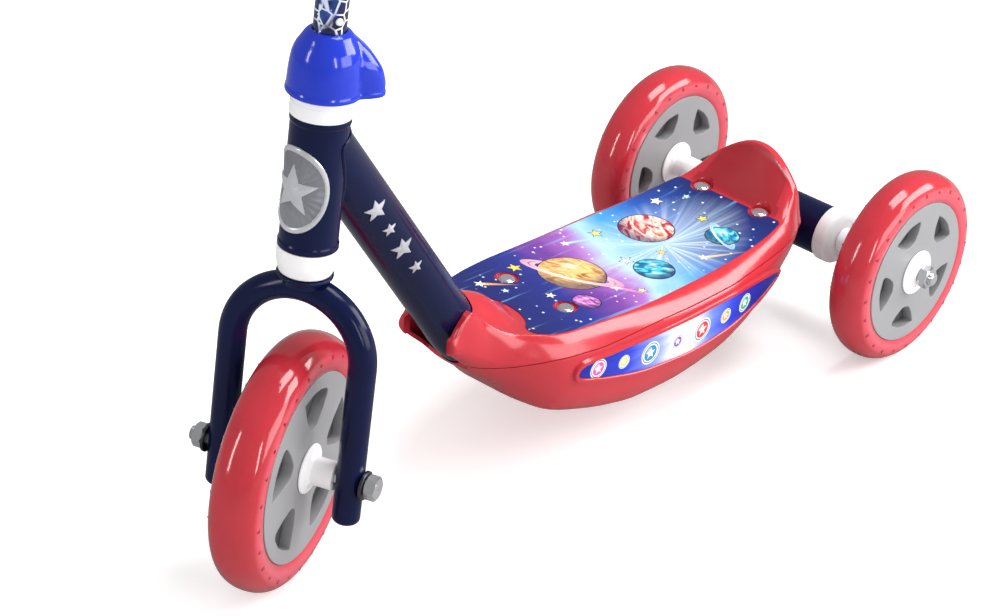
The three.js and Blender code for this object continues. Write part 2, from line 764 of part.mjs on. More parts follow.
function addMainTube() {
  const outer = mainTubeSolid(mainTubeRadius, tubeSides, 0);
  const bore = mainTubeSolid(mainTubeRadius - mainTubeWall, smallSides, -overrun);
  head.updateMatrixWorld(true);
  const coping = rod(headTubeRadius + headLipWidth + fitGap, headBottom, headTop + mainTubeRadius);
  const crossCoping = alongX(rod(
    crossTubeRadius + fitGap, -crossTubeHalfLength, crossTubeHalfLength,
  )).translate(0, 0, rearAxleHeight);
  const body = cut(outer, bore, solid(coping.applyMatrix4(head.matrix)), solid(crossCoping));
  add(frame, 'main_tube', body, navy, 0.3, 0.2);
}

function addRearAxle() {
  const tubeBody = alongX(ring(
    crossTubeRadius - crossTubeWall, crossTubeRadius, -crossTubeHalfLength, crossTubeHalfLength,
  ));
  add(frame, 'rear_cross_tube', tubeBody.translate(0, 0, rearAxleHeight), navy, 0.3, 0.2);
  const nutIn = rearWheelCentre + rearDiscHalfWidth + hubFlangeThickness + hubNoseLength + fitGap * 2;
  const axleEnd = nutIn + nutLength + threadLength;
  add(
    frame, 'rear_axle',
    alongX(rod(axleRadius, -axleEnd, axleEnd, smallSides)).translate(0, 0, rearAxleHeight), steel, 0.3, 1,
  );
  for (const [side, word] of [[1, 'left'], [-1, 'right']]) {
    const cap = turned(capProfile());
    const capBody = side > 0 ? alongX(cap) : alongX(cap).rotateZ(halfTurn);
    add(frame, `cross_tube_cap_${word}`, capBody.translate(0, 0, rearAxleHeight), white, 0.35);
    const nut = axleNut(side, nutIn, nutLength).translate(0, 0, rearAxleHeight);
    add(frame, `rear_axle_nut_${word}`, nut, steel, 0.25, 1);
  }
}

// A plug in the cross tube's end with a rounded cap outside it.
function capProfile() {
  const bore = axleRadius + fitGap;
  const spigot = crossTubeRadius - crossTubeWall - fitGap;
  const face = crossTubeHalfLength + fitGap;
  const end = crossTubeHalfLength + capLength;
  const shoulderShare = 0.35;
  return [
    [bore, face - capSpigotLength], [spigot, face - capSpigotLength], [spigot, face], [capRadius, face],
    [capRadius, end - capLength * shoulderShare], [capRadius * (1 - shoulderShare / 2), end],
    [bore, end], [bore, face - capSpigotLength],
  ];
}

// Deck sections from the nose to the rear wall. Each row: the place along the deck, then shares of
// the half width for the nose ridge, the top's edge, the widest line and the bottom, and shares of
// the deck's height for the crown, the top's edge, the widest line and the floor.
const deckSectionShares = [
  [0.000, 0.15, 0.29, 0.335, 0.31, 1.000, 0.995, 0.915, 0.845],
  [0.035, 0.15, 0.30, 0.36, 0.32, 1.080, 1.060, 0.830, 0.745],
  [0.062, 0.16, 0.30, 0.40, 0.33, 1.095, 1.070, 0.760, 0.680],
  [0.090, 0.28, 0.32, 0.47, 0.35, 1.080, 0.980, 0.680, 0.610],
  [0.116, 0.38, 0.40, 0.54, 0.37, 1.035, 0.885, 0.640, 0.535],
  [0.158, 0.48, 0.53, 0.62, 0.42, 0.960, 0.810, 0.618, 0.410],
  [0.197, 0.38, 0.63, 0.69, 0.48, 0.865, 0.785, 0.613, 0.310],
  [0.240, 0.06, 0.69, 0.76, 0.55, 0.766, 0.766, 0.610, 0.222],
  [0.290, 0.30, 0.72, 0.81, 0.60, 0.750, 0.750, 0.600, 0.160],
  [0.370, 0.30, 0.745, 0.885, 0.66, 0.724, 0.724, 0.577, 0.075],
  [0.463, 0.30, 0.756, 0.96, 0.71, 0.690, 0.690, 0.550, 0.018],
  [0.575, 0.30, 0.753, 1.00, 0.75, 0.660, 0.660, 0.530, 0.000],
  [0.688, 0.30, 0.742, 1.00, 0.76, 0.640, 0.640, 0.515, 0.010],
  [0.785, 0.30, 0.719, 0.96, 0.73, 0.632, 0.632, 0.510, 0.067],
  [0.865, 0.30, 0.690, 0.91, 0.68, 0.637, 0.637, 0.520, 0.190],
  [0.930, 0.30, 0.640, 0.85, 0.63, 0.655, 0.655, 0.535, 0.350],
  [0.970, 0.28, 0.580, 0.77, 0.56, 0.665, 0.665, 0.550, 0.430],
  [1.000, 0.25, 0.500, 0.68, 0.46, 0.665, 0.665, 0.560, 0.480],
];

// The line where the two shells meet: shares along the deck and up its height.
const seamShares = [
  [0, 0.36], [0.077, 0.48], [0.103, 0.54], [0.14, 0.6], [0.19, 0.618], [0.245, 0.617], [0.33, 0.592],
  [0.424, 0.567], [0.59, 0.53], [0.723, 0.51], [0.842, 0.52], [1, 0.55],
];

// Tail sections from inside the deck up to the crest: shares of its height and half width, then
// its back's middle and its back's sides as shares of the foot's distance from the rear axle.
const tailSectionShares = [
  [-0.70, 1.09, 0.63, 0.96], [-0.36, 1.07, 0.60, 0.85], [0, 0.99, 0.55, 0.68], [0.40, 0.77, 0.48, 0.55],
  [0.70, 0.53, 0.45, 0.50], [0.92, 0.28, 0.435, 0.475], [1, 0.09, 0.45, 0.47],
];

const alongDeck = (share) => -deckFront + (deckFront - deckBack) * share;
const upDeck = (share) => deckClearance + deckHeight * share;

// One section of the deck in real sizes, drawn in by an inset.
function deckSection([along, ridge, top, widest, base, crown, edge, widestRise, floor], inset) {
  return {
    y: Math.min(alongDeck(along), -deckBack - inset),
    ridge: deckHalfWidth * ridge,
    top: deckHalfWidth * top - inset / 2,
    widest: deckHalfWidth * widest - inset,
    base: deckHalfWidth * base - inset / 2,
    crown: upDeck(crown) - inset,
    edge: upDeck(edge) - inset,
    widestRise: upDeck(widestRise),
    floor: upDeck(floor) + inset,
  };
}

// The ring of points round one section, anticlockwise seen from behind.
function deckRing(section, y = section.y) {
  const shoulderSteps = 3;
  const sideSteps = 4;
  const squareness = 0.78;
  const half = [
    [0, section.crown], [section.ridge / 2, (section.crown + section.edge) / 2],
    [section.ridge, section.edge], [section.top, section.edge],
  ];
  for (let i = 1; i <= shoulderSteps; i++) {
    const angle = quarterTurn * i / shoulderSteps;
    half.push([
      section.top + (section.widest - section.top) * Math.sin(angle),
      section.widestRise + (section.edge - section.widestRise) * Math.cos(angle),
    ]);
  }
  for (let i = 1; i <= sideSteps; i++) {
    const angle = quarterTurn * i / sideSteps;
    half.push([
      section.base + (section.widest - section.base) * Math.cos(angle) ** squareness,
      section.widestRise - (section.widestRise - section.floor) * Math.sin(angle) ** squareness,
    ]);
  }
  const right = half.map(([x, z]) => new THREE.Vector3(x, y, z));
  const left = half.slice(1).reverse().map(([x, z]) => new THREE.Vector3(-x, y, z));
  return [...right, ...left];
}

function loft(rings) {
  return solid(new LoftGeometry(rings, { capStart: true, capEnd: true }));
}

function deckLoft(inset, openNose = false) {
  const rings = deckSectionShares.map((shares) => deckRing(deckSection(shares, inset)));
  if (openNose) {
    const first = deckSection(deckSectionShares[0], inset);
    rings.unshift(deckRing(first, first.y - overrun));
  }
  return loft(rings);
}

// The height of the deck's top, or of another of its lines, at a place along it.
function deckLine(key, y) {
  const rows = deckSectionShares.map((shares) => deckSection(shares, 0));
  let i = 1;
  while (i < rows.length - 1 && rows[i].y < y) i++;
  const [from, to] = [rows[i - 1], rows[i]];
  return from[key] + (to[key] - from[key]) * (y - from.y) / (to.y - from.y);
}

// The kick tail: a leaning inner face and a round back that narrows to the crest.
function tailLoft(inset) {
  const rows = tailSectionShares.filter(([rise]) => inset === 0 || rise < 0.5);
  const steps = 8;
  return loft(rows.map(([rise, halfShare, back, side]) => {
    const half = tailHalfWidth * halfShare - inset * 2;
    const z = deckLine('edge', -tailFoot) + tailHeight * rise;
    const front = -tailFoot + tailHeight * rise * Math.tan(tailLean) + inset / Math.cos(tailLean);
    const ring = [];
    for (let i = 0; i <= steps; i++) {
      const angle = halfTurn * i / steps;
      const y = -tailFoot * (side - (side - back) * Math.sin(angle)) - inset;
      ring.push(new THREE.Vector3(half * Math.cos(angle), y, z));
    }
    ring.push(new THREE.Vector3(-half, Math.min(front, ring.at(-1).y), z));
    ring.push(new THREE.Vector3(half, Math.min(front, ring[0].y), z));
    return ring;
  }));
}

// Turns an outline drawn in (y, z) and extruded into one that runs along +X.
function sideways(geometry) {
  return geometry.applyMatrix4(new THREE.Matrix4().set(
    0, 0, 1, 0,
    1, 0, 0, 0,
    0, 1, 0, 0,
    0, 0, 0, 1,
  ));
}

// Everything above the seam, as a slab whose underside follows the seam line.
function aboveSeam(lift) {
  const high = upDeck(2);
  const places = seamShares.map(([along, rise]) => new THREE.Vector2(alongDeck(along), upDeck(rise) + lift));
  const ends = [
    new THREE.Vector2(0, places.at(-1).y), new THREE.Vector2(0, high),
    new THREE.Vector2(-deckFront - deckHeight, high), new THREE.Vector2(-deckFront - deckHeight, places[0].y),
  ];
  const width = deckHalfWidth * 2 + overrun * 2;
  const slab = new THREE.ExtrudeGeometry(new THREE.Shape([...places, ...ends]), {
    depth: width, bevelEnabled: false,
  });
  return solid(sideways(slab).translate(-width / 2, 0, 0));
}

function screwPlaces() {
  const places = [];
  for (const y of [-screwFrontPlace, -screwRearPlace]) {
    for (const x of [-screwHalfSpacing, screwHalfSpacing]) places.push([x, y]);
  }
  return places;
}

// The beam's top under a screw pair, which its bracket rests on.
function bracketBottom(y) {
  return rearAxleHeight - y * Math.tan(beamSlope) + mainTubeRadius / Math.cos(beamSlope) + fitGap
    + bracketHalfWidth * Math.tan(beamSlope);
}

function cylinderAt(radius, bottom, top, x, y, sides = smallSides) {
  return rod(radius, bottom, top, sides).translate(x, y, 0);
}

// The side trim's outline: shares of its length and height.
const trimUpperShares = [
  [0, 0.93], [0.03, 0.99], [0.105, 0.96], [0.305, 0.8], [0.616, 0.567], [0.826, 0.476], [0.99, 0.6],
];
const trimLowerShares = [
  [0.953, 0.307], [0.85, 0.09], [0.747, 0.01], [0.595, 0], [0.33, 0.17], [0.126, 0.42], [0, 0.66],
];

function trimOutline(inset) {
  const front = -trimBack - trimLength;
  const place = ([along, rise], side) => new THREE.Vector2(
    front + inset * 2 + (trimLength - inset * 4) * along, trimBase + trimHeight * rise + side * inset,
  );
  const upper = trimUpperShares.map((shares) => place(shares, -1));
  const lower = trimLowerShares.map((shares) => place(shares, 1));
  return new THREE.Shape([...upper, ...lower]);
}

function trimSlab(side, inset) {
  const depth = deckHalfWidth;
  const slab = sideways(new THREE.ExtrudeGeometry(trimOutline(inset), { depth, bevelEnabled: false }));
  return solid(slab.translate(side > 0 ? mainTubeRadius : -depth - mainTubeRadius, 0, 0));
}

// The hollow deck without its split: outer form less its inside, the tube's way and the nose slot.
function deckShell(outer) {
  const tubeWay = mainTubeSolid(mainTubeRadius + tubeClearance, tubeSides, 0);
  const slot = solid(box(
    (mainTubeRadius + tubeClearance) * 2, deckFront - noseSlotBack + overrun, deckHeight,
    0, -(deckFront + noseSlotBack + overrun) / 2, deckClearance + deckHeight / 2,
  ));
  return cut(outer, deckLoft(deckWall, true), tailLoft(deckWall), tubeWay, slot);
}

function addDeck() {
  const form = join(deckLoft(0), tailLoft(0));
  const grown = deckLoft(-trimProud);
  const trims = [1, -1].map((side) => grown.intersect(trimSlab(side, 0)));
  let top = deckShell(form).intersect(aboveSeam(fitGap));
  for (const [x, y] of screwPlaces()) {
    const bossFoot = bracketBottom(y) + bracketThickness + fitGap;
    const surface = deckLine('edge', y);
    const post = solid(cylinderAt(bossRadius, bossFoot, surface - deckWall / 2, x, y));
    const hole = solid(cylinderAt(screwShankRadius + screwHoleGap, deckClearance, surface + overrun, x, y));
    const dimple = solid(cylinderAt(
      dimpleRadius, surface - dimpleDepth, surface + deckHeight, x, y, tubeSides,
    ));
    top = cut(join(top, post), hole, dimple);
  }
  add(frame, 'deck_top', largest(top), red, 0.3);
  add(frame, 'deck_hull', largest(deckShell(join(form, ...trims)).subtract(aboveSeam(0))), red, 0.3);
  addDeckPrint();
  addSidePrints();
}

// The biggest of the bodies that a cut leaves.
function largest(manifold) {
  const bodies = manifold.decompose();
  return bodies.reduce((best, body) => (body.volume() > best.volume() ? body : best));
}

// A thin printed sheet on the deck's top, cut out round the screws.
function addDeckPrint() {
  const rows = deckSectionShares.map((shares) => deckSection(shares, 0));
  const inside = rows.filter((row) => row.y > -printFront && row.y < -printBack);
  const ends = [-printFront, -printBack].map((y) => (
    { y, edge: deckLine('edge', y), top: deckLine('top', y) }
  ));
  const places = [ends[0], ...inside, ends[1]];
  const rings = places.map((row) => {
    const half = row.top - printSideInset;
    const low = row.edge + fitGap;
    const high = low + printThickness;
    return [[half, low], [half, high], [-half, high], [-half, low]]
      .map(([x, z]) => new THREE.Vector3(x, row.y, z)).reverse();
  });
  const sheet = solid(new LoftGeometry(rings, { capStart: true, capEnd: true }));
  const holes = screwPlaces().map(([x, y]) => solid(
    cylinderAt(dimpleRadius + fitGap, deckClearance, deckClearance + deckHeight, x, y, tubeSides),
  ));
  const nose = solid(cylinderAt(
    noseRoundRadius, deckClearance, deckClearance + deckHeight, 0, -noseRoundPlace, wheelSides,
  ));
  add(frame, 'deck_print', cut(sheet, ...holes, nose), printBlue, 0.3);
}

// The thin printed strips that fill the side trims.
function addSidePrints() {
  const outer = deckLoft(-trimProud - fitGap - printThickness);
  const inner = deckLoft(-trimProud - fitGap);
  for (const [side, word] of [[1, 'left'], [-1, 'right']]) {
    const strip = outer.intersect(trimSlab(side, trimMargin)).subtract(inner);
    add(frame, `side_print_${word}`, largest(strip), printBlue, 0.3);
  }
}

function addDeckFixings() {
  screwPlaces().forEach(([x, y], index) => {
    const seat = deckLine('edge', y) - dimpleDepth + fitGap;
    const tip = bracketBottom(y) - screwTip;
    const screw = turned([
      [0, tip], [screwShankRadius, tip + screwShankRadius], [screwShankRadius, seat],
      [screwHeadRadius, seat], [screwHeadRadius, seat + screwHeadHeight / 2],
      [screwHeadRadius / 2, seat + screwHeadHeight], [0, seat + screwHeadHeight],
    ], smallSides);
    add(frame, `deck_screw_${index + 1}`, screw.translate(x, y, 0), steel, 0.3, 1);
  });
  for (const [y, word] of [[-screwFrontPlace, 'front'], [-screwRearPlace, 'rear']]) {
    const bottom = bracketBottom(y);
    const plate = solid(box(
      bracketHalfLength * 2, bracketHalfWidth * 2, bracketThickness, 0, y, bottom + bracketThickness / 2,
    ));
    const holes = [-screwHalfSpacing, screwHalfSpacing].map((x) => solid(cylinderAt(
      screwShankRadius + fitGap, bottom - overrun, bottom + bracketThickness + overrun, x, y,
    )));
    add(frame, `deck_bracket_${word}`, cut(plate, ...holes), darkSteel, 0.45, 0.9);
  }
}

addFrontWheel();
addRearWheel(1, 'left');
addRearWheel(-1, 'right');
addFrontAxle();
addFork();
addCrown();
addHead();
addClamp();
addCover();
addHandlebar();
addSnapButton();
addMainTube();
addRearAxle();
addDeck();
addDeckFixings();

// The origin goes midway along the scooter's whole length.
scooter.updateMatrixWorld(true);
const extent = new THREE.Box3().setFromObject(scooter, true);
frame.position.y = -(extent.min.y + extent.max.y) / 2;

export default scooter;
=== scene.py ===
import json
import math

import bmesh
import bpy
from mathutils import Matrix, Vector


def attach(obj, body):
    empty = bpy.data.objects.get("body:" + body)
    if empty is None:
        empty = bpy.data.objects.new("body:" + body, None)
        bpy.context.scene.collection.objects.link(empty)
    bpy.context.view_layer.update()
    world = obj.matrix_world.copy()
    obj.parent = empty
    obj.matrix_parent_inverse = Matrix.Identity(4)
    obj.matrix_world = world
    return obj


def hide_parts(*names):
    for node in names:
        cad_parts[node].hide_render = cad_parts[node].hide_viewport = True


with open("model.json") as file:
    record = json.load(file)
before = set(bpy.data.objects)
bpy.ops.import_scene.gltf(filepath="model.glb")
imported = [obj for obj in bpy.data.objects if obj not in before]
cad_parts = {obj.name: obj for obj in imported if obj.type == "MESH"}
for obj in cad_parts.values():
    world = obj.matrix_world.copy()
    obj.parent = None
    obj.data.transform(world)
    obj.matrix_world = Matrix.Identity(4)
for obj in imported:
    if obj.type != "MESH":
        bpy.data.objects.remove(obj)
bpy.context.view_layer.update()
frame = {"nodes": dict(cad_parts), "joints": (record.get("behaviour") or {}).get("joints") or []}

# The camera stands in front of the scooter's left side and looks down on it.
# Its place, turn and focal length were fitted to the wheels, tubes and deck of the photograph.
photo_width = 1000
sensor_width = 36.0
focal_pixels = 3328.45
camera_place = Vector((1.0573, -1.3366, 1.1002))
camera_azimuth = math.radians(39.2802)
camera_elevation = math.radians(30.8979)
camera_roll = math.radians(3.9672)

camera_back = Vector((
    math.sin(camera_azimuth) * math.cos(camera_elevation),
    -math.cos(camera_azimuth) * math.cos(camera_elevation),
    math.sin(camera_elevation),
))
level_right = Vector((0, 0, 1)).cross(camera_back).normalized()
level_up = camera_back.cross(level_right)
camera_right = math.cos(camera_roll) * level_right + math.sin(camera_roll) * level_up
camera_up = camera_back.cross(camera_right)
camera = bpy.data.objects.new("camera", bpy.data.cameras.new("camera"))
camera.data.sensor_width = sensor_width
camera.data.lens = focal_pixels / photo_width * sensor_width
camera.data.clip_start = 0.05
camera.data.clip_end = 50.0
camera_turn = Matrix((camera_right, camera_up, camera_back)).transposed().to_4x4()
camera.matrix_world = Matrix.Translation(camera_place) @ camera_turn
bpy.context.scene.collection.objects.link(camera)
bpy.context.scene.camera = camera
bpy.context.scene.view_settings.view_transform = "Standard"

# A white paper floor under a soft studio: one broad lamp above and four strips round the scooter.
# The floor shows white to the camera and keeps the soft shadows under the wheels.
floor_half = 6.0
floor_brightness = 0.62
floor_seen = 0.97
floor_lift = 0.31
floor_mirrored = 0.3
room_light = 0.8
room_mirrored = 0.34


def linear(red, green, blue):
    """A colour as it is seen, in steps of 255, as the linear values that a shader takes."""
    shares = [value / 255 for value in (red, green, blue)]
    return tuple(s / 12.92 if s <= 0.04045 else ((s + 0.055) / 1.055) ** 2.4 for s in shares) + (1.0,)


def new_node(tree, kind, **settings):
    """A node with its settings, and its inputs set by number or linked where a socket is given."""
    made = tree.nodes.new(kind)
    inputs = settings.pop("inputs", {})
    for key, value in settings.items():
        setattr(made, key, value)
    for key, value in inputs.items():
        if isinstance(value, bpy.types.NodeSocket):
            tree.links.new(value, made.inputs[key])
        else:
            made.inputs[key].default_value = value
    return made


def fresh_tree(owner):
    """The empty node tree of a material or a world."""
    owner.use_nodes = True
    owner.node_tree.nodes.clear()
    return owner.node_tree


def by_ray(tree, plain, mirrored, seen):
    """One value for the light itself, one for what is mirrored and one for what the camera sees."""
    rays = new_node(tree, "ShaderNodeLightPath").outputs
    glossy = new_node(tree, "ShaderNodeMapRange", inputs={
        "Value": rays["Is Glossy Ray"], "To Min": plain, "To Max": mirrored})
    return new_node(tree, "ShaderNodeMapRange", inputs={
        "Value": rays["Is Camera Ray"], "To Min": glossy.outputs[0], "To Max": seen}).outputs[0]


floor_paper = bpy.data.materials.new("floor_paper")
floor_tree = fresh_tree(floor_paper)
paper = new_node(floor_tree, "ShaderNodeBsdfDiffuse", inputs={
    "Color": by_ray(floor_tree, floor_brightness, floor_mirrored, floor_seen)})
paper_lift = new_node(floor_tree, "ShaderNodeEmission", inputs={
    "Strength": by_ray(floor_tree, 0, 0, floor_lift)})
floor_sum = new_node(floor_tree, "ShaderNodeAddShader", inputs={
    0: paper.outputs[0], 1: paper_lift.outputs[0]})
new_node(floor_tree, "ShaderNodeOutputMaterial", inputs={"Surface": floor_sum.outputs[0]})

floor_mesh = bpy.data.meshes.new("floor")
floor_corners = [(-1, -1), (1, -1), (1, 1), (-1, 1)]
floor_mesh.from_pydata([(x * floor_half, y * floor_half, 0) for x, y in floor_corners], [], [(0, 1, 2, 3)])
floor = bpy.data.objects.new("floor", floor_mesh)
floor.data.materials.append(floor_paper)
bpy.context.scene.collection.objects.link(floor)

world = bpy.data.worlds.new("studio")
bpy.context.scene.world = world
world_tree = fresh_tree(world)
backdrop = new_node(world_tree, "ShaderNodeBackground", inputs={
    "Strength": by_ray(world_tree, room_light, room_mirrored, 1.0)})
new_node(world_tree, "ShaderNodeOutputWorld", inputs={"Surface": backdrop.outputs[0]})


def axes_frame(place, up, right):
    """The matrix of a local frame with its origin, its Z and its X given."""
    z_axis = Vector(up).normalized()
    x_axis = (Vector(right) - z_axis * Vector(right).dot(z_axis)).normalized()
    turn = Matrix((x_axis, z_axis.cross(x_axis), z_axis)).transposed().to_4x4()
    return Matrix.Translation(Vector(place)) @ turn


def soft_lamp(name, place, aim, along, width, height, power):
    """A rectangular lamp that faces a point, its width turned along a direction."""
    lamp = bpy.data.lights.new(name, "AREA")
    lamp.shape = "RECTANGLE"
    lamp.size = width
    lamp.size_y = height
    lamp.energy = power
    holder = bpy.data.objects.new(name, lamp)
    holder.matrix_world = axes_frame(place, Vector(place) - Vector(aim), along)
    bpy.context.scene.collection.objects.link(holder)


soft_lamp("top_lamp", (0.3, 0.7, 2.3), (0, 0, 0.1), (1, 0, 0), 1.3, 1.0, 29)
soft_lamp("left_strip", (1.08, 1.25, 1.03), (0.05, 0.04, 0.09), (-0.45, 0.78, -0.41), 1.35, 0.85, 24)
soft_lamp("low_strip", (1.85, 0.5, 0.58), (0.05, -0.1, 0.09), (0, 1, 0), 1.3, 0.9, 13)
soft_lamp("front_strip", (-0.9, -2.4, 1.2), (0, -0.1, 0.2), (1, 0, 0), 0.3, 1.4, 12)
soft_lamp("right_strip", (2.3, -0.9, 0.9), (0, 0, 0.15), (0, 1, 0), 0.22, 1.1, 8)

# The main tube is one steel tube, 32 mm across: it comes down from the head tube, turns through
# a wide bend and runs back under the deck to the rear cross tube. It is welded at both ends and
# sprayed with glossy navy enamel.
mm = 0.001
joints = {joint["name"]: joint for joint in frame["joints"]}
steering = joints["steering"]
head_frame = axes_frame(steering["pos_m"], steering["axis"], (1, 0, 0))
fork_frame = axes_frame(steering["pos_m"], steering["axis"], joints["front_wheel_spin"]["axis"])
rear_hub_x, rear_axle_y, rear_axle_z = joints["rear_left_wheel_spin"]["pos_m"]
rear_axle_frame = Matrix.Translation((0, rear_axle_y, rear_axle_z))

tube_radius = 16 * mm
tube_wall = 1.8 * mm
tube_slope = math.radians(54.6)
beam_slope = math.radians(2.1)
bend_radius = 88 * mm
head_radius = 16.2 * mm
head_bottom = 134.8 * mm
head_top = 211.8 * mm
tube_crossing = head_top - 14.2 * mm
cross_radius = 16.5 * mm
cope_overlap = 0.1 * mm
round_sides = 64


def new_group(name, inputs, outputs):
    """An empty node group with its named sockets: a colour where it is called that, else numbers."""
    group = bpy.data.node_groups.new(name, "ShaderNodeTree")
    for names, way in ((inputs, "INPUT"), (outputs, "OUTPUT")):
        for socket in names:
            kind = "NodeSocketColor" if socket == "Colour" else "NodeSocketFloat"
            group.interface.new_socket(socket, in_out=way, socket_type=kind)
    return group


def calc(operation, *values, clamp=False):
    """One sum in the node tree that its first linked value comes from."""
    tree = next(value.id_data for value in values if isinstance(value, bpy.types.NodeSocket))
    return new_node(tree, "ShaderNodeMath", operation=operation, use_clamp=clamp,
                    inputs=dict(enumerate(values))).outputs[0]


def surface_group():
    """Fine grain, faint mottling and hairline scuffs for a moulded or sprayed surface."""
    group = new_group("fine_surface", ("Colour", "Scale", "Mottle", "Roughness", "Scuffs"),
                      ("Colour", "Roughness", "Height"))
    given = new_node(group, "NodeGroupInput").outputs
    place = new_node(group, "ShaderNodeTexCoord").outputs["Object"]
    grain = new_node(group, "ShaderNodeTexNoise", inputs={
        "Vector": place, "Scale": given["Scale"], "Detail": 4.0, "Roughness": 0.6})
    clouds = new_node(group, "ShaderNodeTexNoise", inputs={"Vector": place, "Scale": 45.0, "Detail": 3.0})
    stretched = new_node(group, "ShaderNodeMapping", inputs={
        "Vector": place, "Scale": (60.0, 900.0, 260.0), "Rotation": (0.4, 0.7, 0.2)})
    hairs = new_node(group, "ShaderNodeTexNoise", inputs={
        "Vector": stretched.outputs[0], "Scale": 1.0, "Detail": 2.0})
    scuffed = new_node(group, "ShaderNodeMapRange", inputs={
        "Value": hairs.outputs["Fac"], "From Min": 0.66, "From Max": 0.78})
    cloud_shift = new_node(group, "ShaderNodeMapRange", inputs={
        "Value": clouds.outputs["Fac"], "From Min": 0.3, "From Max": 0.7, "To Min": -1.0}).outputs[0]
    tinted = new_node(group, "ShaderNodeHueSaturation", inputs={
        "Color": given["Colour"], "Value": calc("MULTIPLY_ADD", cloud_shift, given["Mottle"], 1.0)})
    scuff_part = calc("MULTIPLY", scuffed.outputs[0], given["Scuffs"])
    cloud_part = calc("MULTIPLY_ADD", cloud_shift, 0.03, given["Roughness"])
    new_node(group, "NodeGroupOutput", inputs={
        "Colour": tinted.outputs[0], "Roughness": calc("ADD", cloud_part, scuff_part, clamp=True),
        "Height": grain.outputs["Fac"]})
    return group


fine_surface = surface_group()


def finish_material(name, colour, roughness, grain_scale, bump_mm, mottle=0.04, scuffs=0.08, **shader):
    """A Principled material over the fine surface group. The colour is a value or a function of the
    material's node tree that gives a socket; what is left over is set on the shader itself."""
    material = bpy.data.materials.new(name)
    tree = fresh_tree(material)
    surface = new_node(tree, "ShaderNodeGroup", node_tree=fine_surface)
    if callable(colour):
        tree.links.new(colour(tree), surface.inputs["Colour"])
    else:
        surface.inputs["Colour"].default_value = colour
    given = {"Scale": grain_scale, "Mottle": mottle, "Roughness": roughness, "Scuffs": scuffs}
    for key, value in given.items():
        surface.inputs[key].default_value = value
    bump = new_node(tree, "ShaderNodeBump", inputs={
        "Height": surface.outputs["Height"], "Distance": bump_mm * mm, "Strength": 0.6})
    look = new_node(tree, "ShaderNodeBsdfPrincipled", inputs={
        "Base Color": surface.outputs["Colour"], "Roughness": surface.outputs["Roughness"],
        "Normal": bump.outputs[0], **shader})
    new_node(tree, "ShaderNodeOutputMaterial", inputs={"Surface": look.outputs[0]})
    return material


enamel = finish_material(
    "navy_enamel", linear(12, 20, 58), 0.17, 700, 0.02, mottle=0.06, scuffs=0.05,
    **{"Specular IOR Level": 0.25})


def mesh_of(verts, faces, name="part"):
    """A bare mesh from points and faces."""
    mesh = bpy.data.meshes.new(name)
    mesh.from_pydata([tuple(v) for v in verts], [], faces)
    return mesh


def make_piece(name, verts, faces, place, body, replaced, materials, sharp=38):
    """A smooth-shaded object in its local frame, riding its body in the place of its CAD nodes."""
    mesh = mesh_of(verts, faces, name)
    mesh.validate()
    dress_mesh(name, mesh, place, body, replaced, materials, sharp)


def dress_mesh(name, mesh, place, body, replaced, materials, sharp=38):
    """Turns a finished mesh into a piece of the scooter."""
    mesh.shade_smooth()
    mesh.set_sharp_from_angle(angle=math.radians(sharp))
    piece = bpy.data.objects.new(name, mesh)
    for index, material in enumerate(materials):
        if index < len(mesh.materials):
            mesh.materials[index] = material
        else:
            mesh.materials.append(material)
    bpy.context.scene.collection.objects.link(piece)
    piece.matrix_world = place
    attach(piece, body)
    if replaced:
        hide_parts(*replaced)


def ring_faces(rings, count, joined=False):
    """Quads between successive rings of points, and from the last ring to the first if joined."""
    faces = []
    for row in range(rings if joined else rings - 1):
        here, there = row * count, (row + 1) % rings * count
        for i in range(count):
            j = (i + 1) % count
            faces.append((here + i, here + j, there + j, there + i))
    return faces


def ring_points(centre, u, v, radius, sides):
    """A ring of points round a centre, in the plane of two directions."""
    angles = [math.tau * i / sides for i in range(sides)]
    return [centre + (u * math.cos(a) + v * math.sin(a)) * radius for a in angles]


def beam_lines():
    """The main tube's centre line in the (y, z) plane: its top, the bend's centre and its end."""
    top = head_frame @ Vector((0, 0, tube_crossing))
    down = Vector((0, math.cos(tube_slope), -math.sin(tube_slope)))
    back = Vector((0, math.cos(beam_slope), -math.sin(beam_slope)))
    axle = Vector((0, rear_axle_y, rear_axle_z))
    spread = axle - top
    along = (spread.y * back.z - spread.z * back.y) / (down.y * back.z - down.z * back.y)
    corner = top + down * along
    reach = bend_radius * math.tan((tube_slope - beam_slope) / 2)
    return top, down, back, axle, corner, reach


tube_top, tube_down, tube_back, tube_end, tube_corner, bend_reach = beam_lines()


def tube_line_start(offset):
    """Where a line along the tube's wall leaves the head tube's surface, measured from the top."""
    head_axis = head_frame.to_3x3() @ Vector((0, 0, 1))
    start = tube_top + offset - head_frame.translation
    across_start = start - head_axis * start.dot(head_axis)
    across_way = tube_down - head_axis * tube_down.dot(head_axis)
    a = across_way.dot(across_way)
    b = across_start.dot(across_way)
    c = across_start.dot(across_start) - (head_radius - cope_overlap) ** 2
    return (-b + math.sqrt(max(b * b - a * c, 0))) / a


def bend_rings(radius, sides, steps):
    """Rings of points round the main tube's bend."""
    side = Vector((1, 0, 0))
    bend_centre = tube_corner + tube_back * bend_reach - tube_back.cross(side).normalized() * bend_radius
    rings = []
    for step in range(steps + 1):
        slope = tube_slope + (beam_slope - tube_slope) * step / steps
        outward = Vector((0, -math.sin(slope), -math.cos(slope)))
        rings.append(ring_points(bend_centre + outward * bend_radius, side, outward, radius, sides))
    return rings


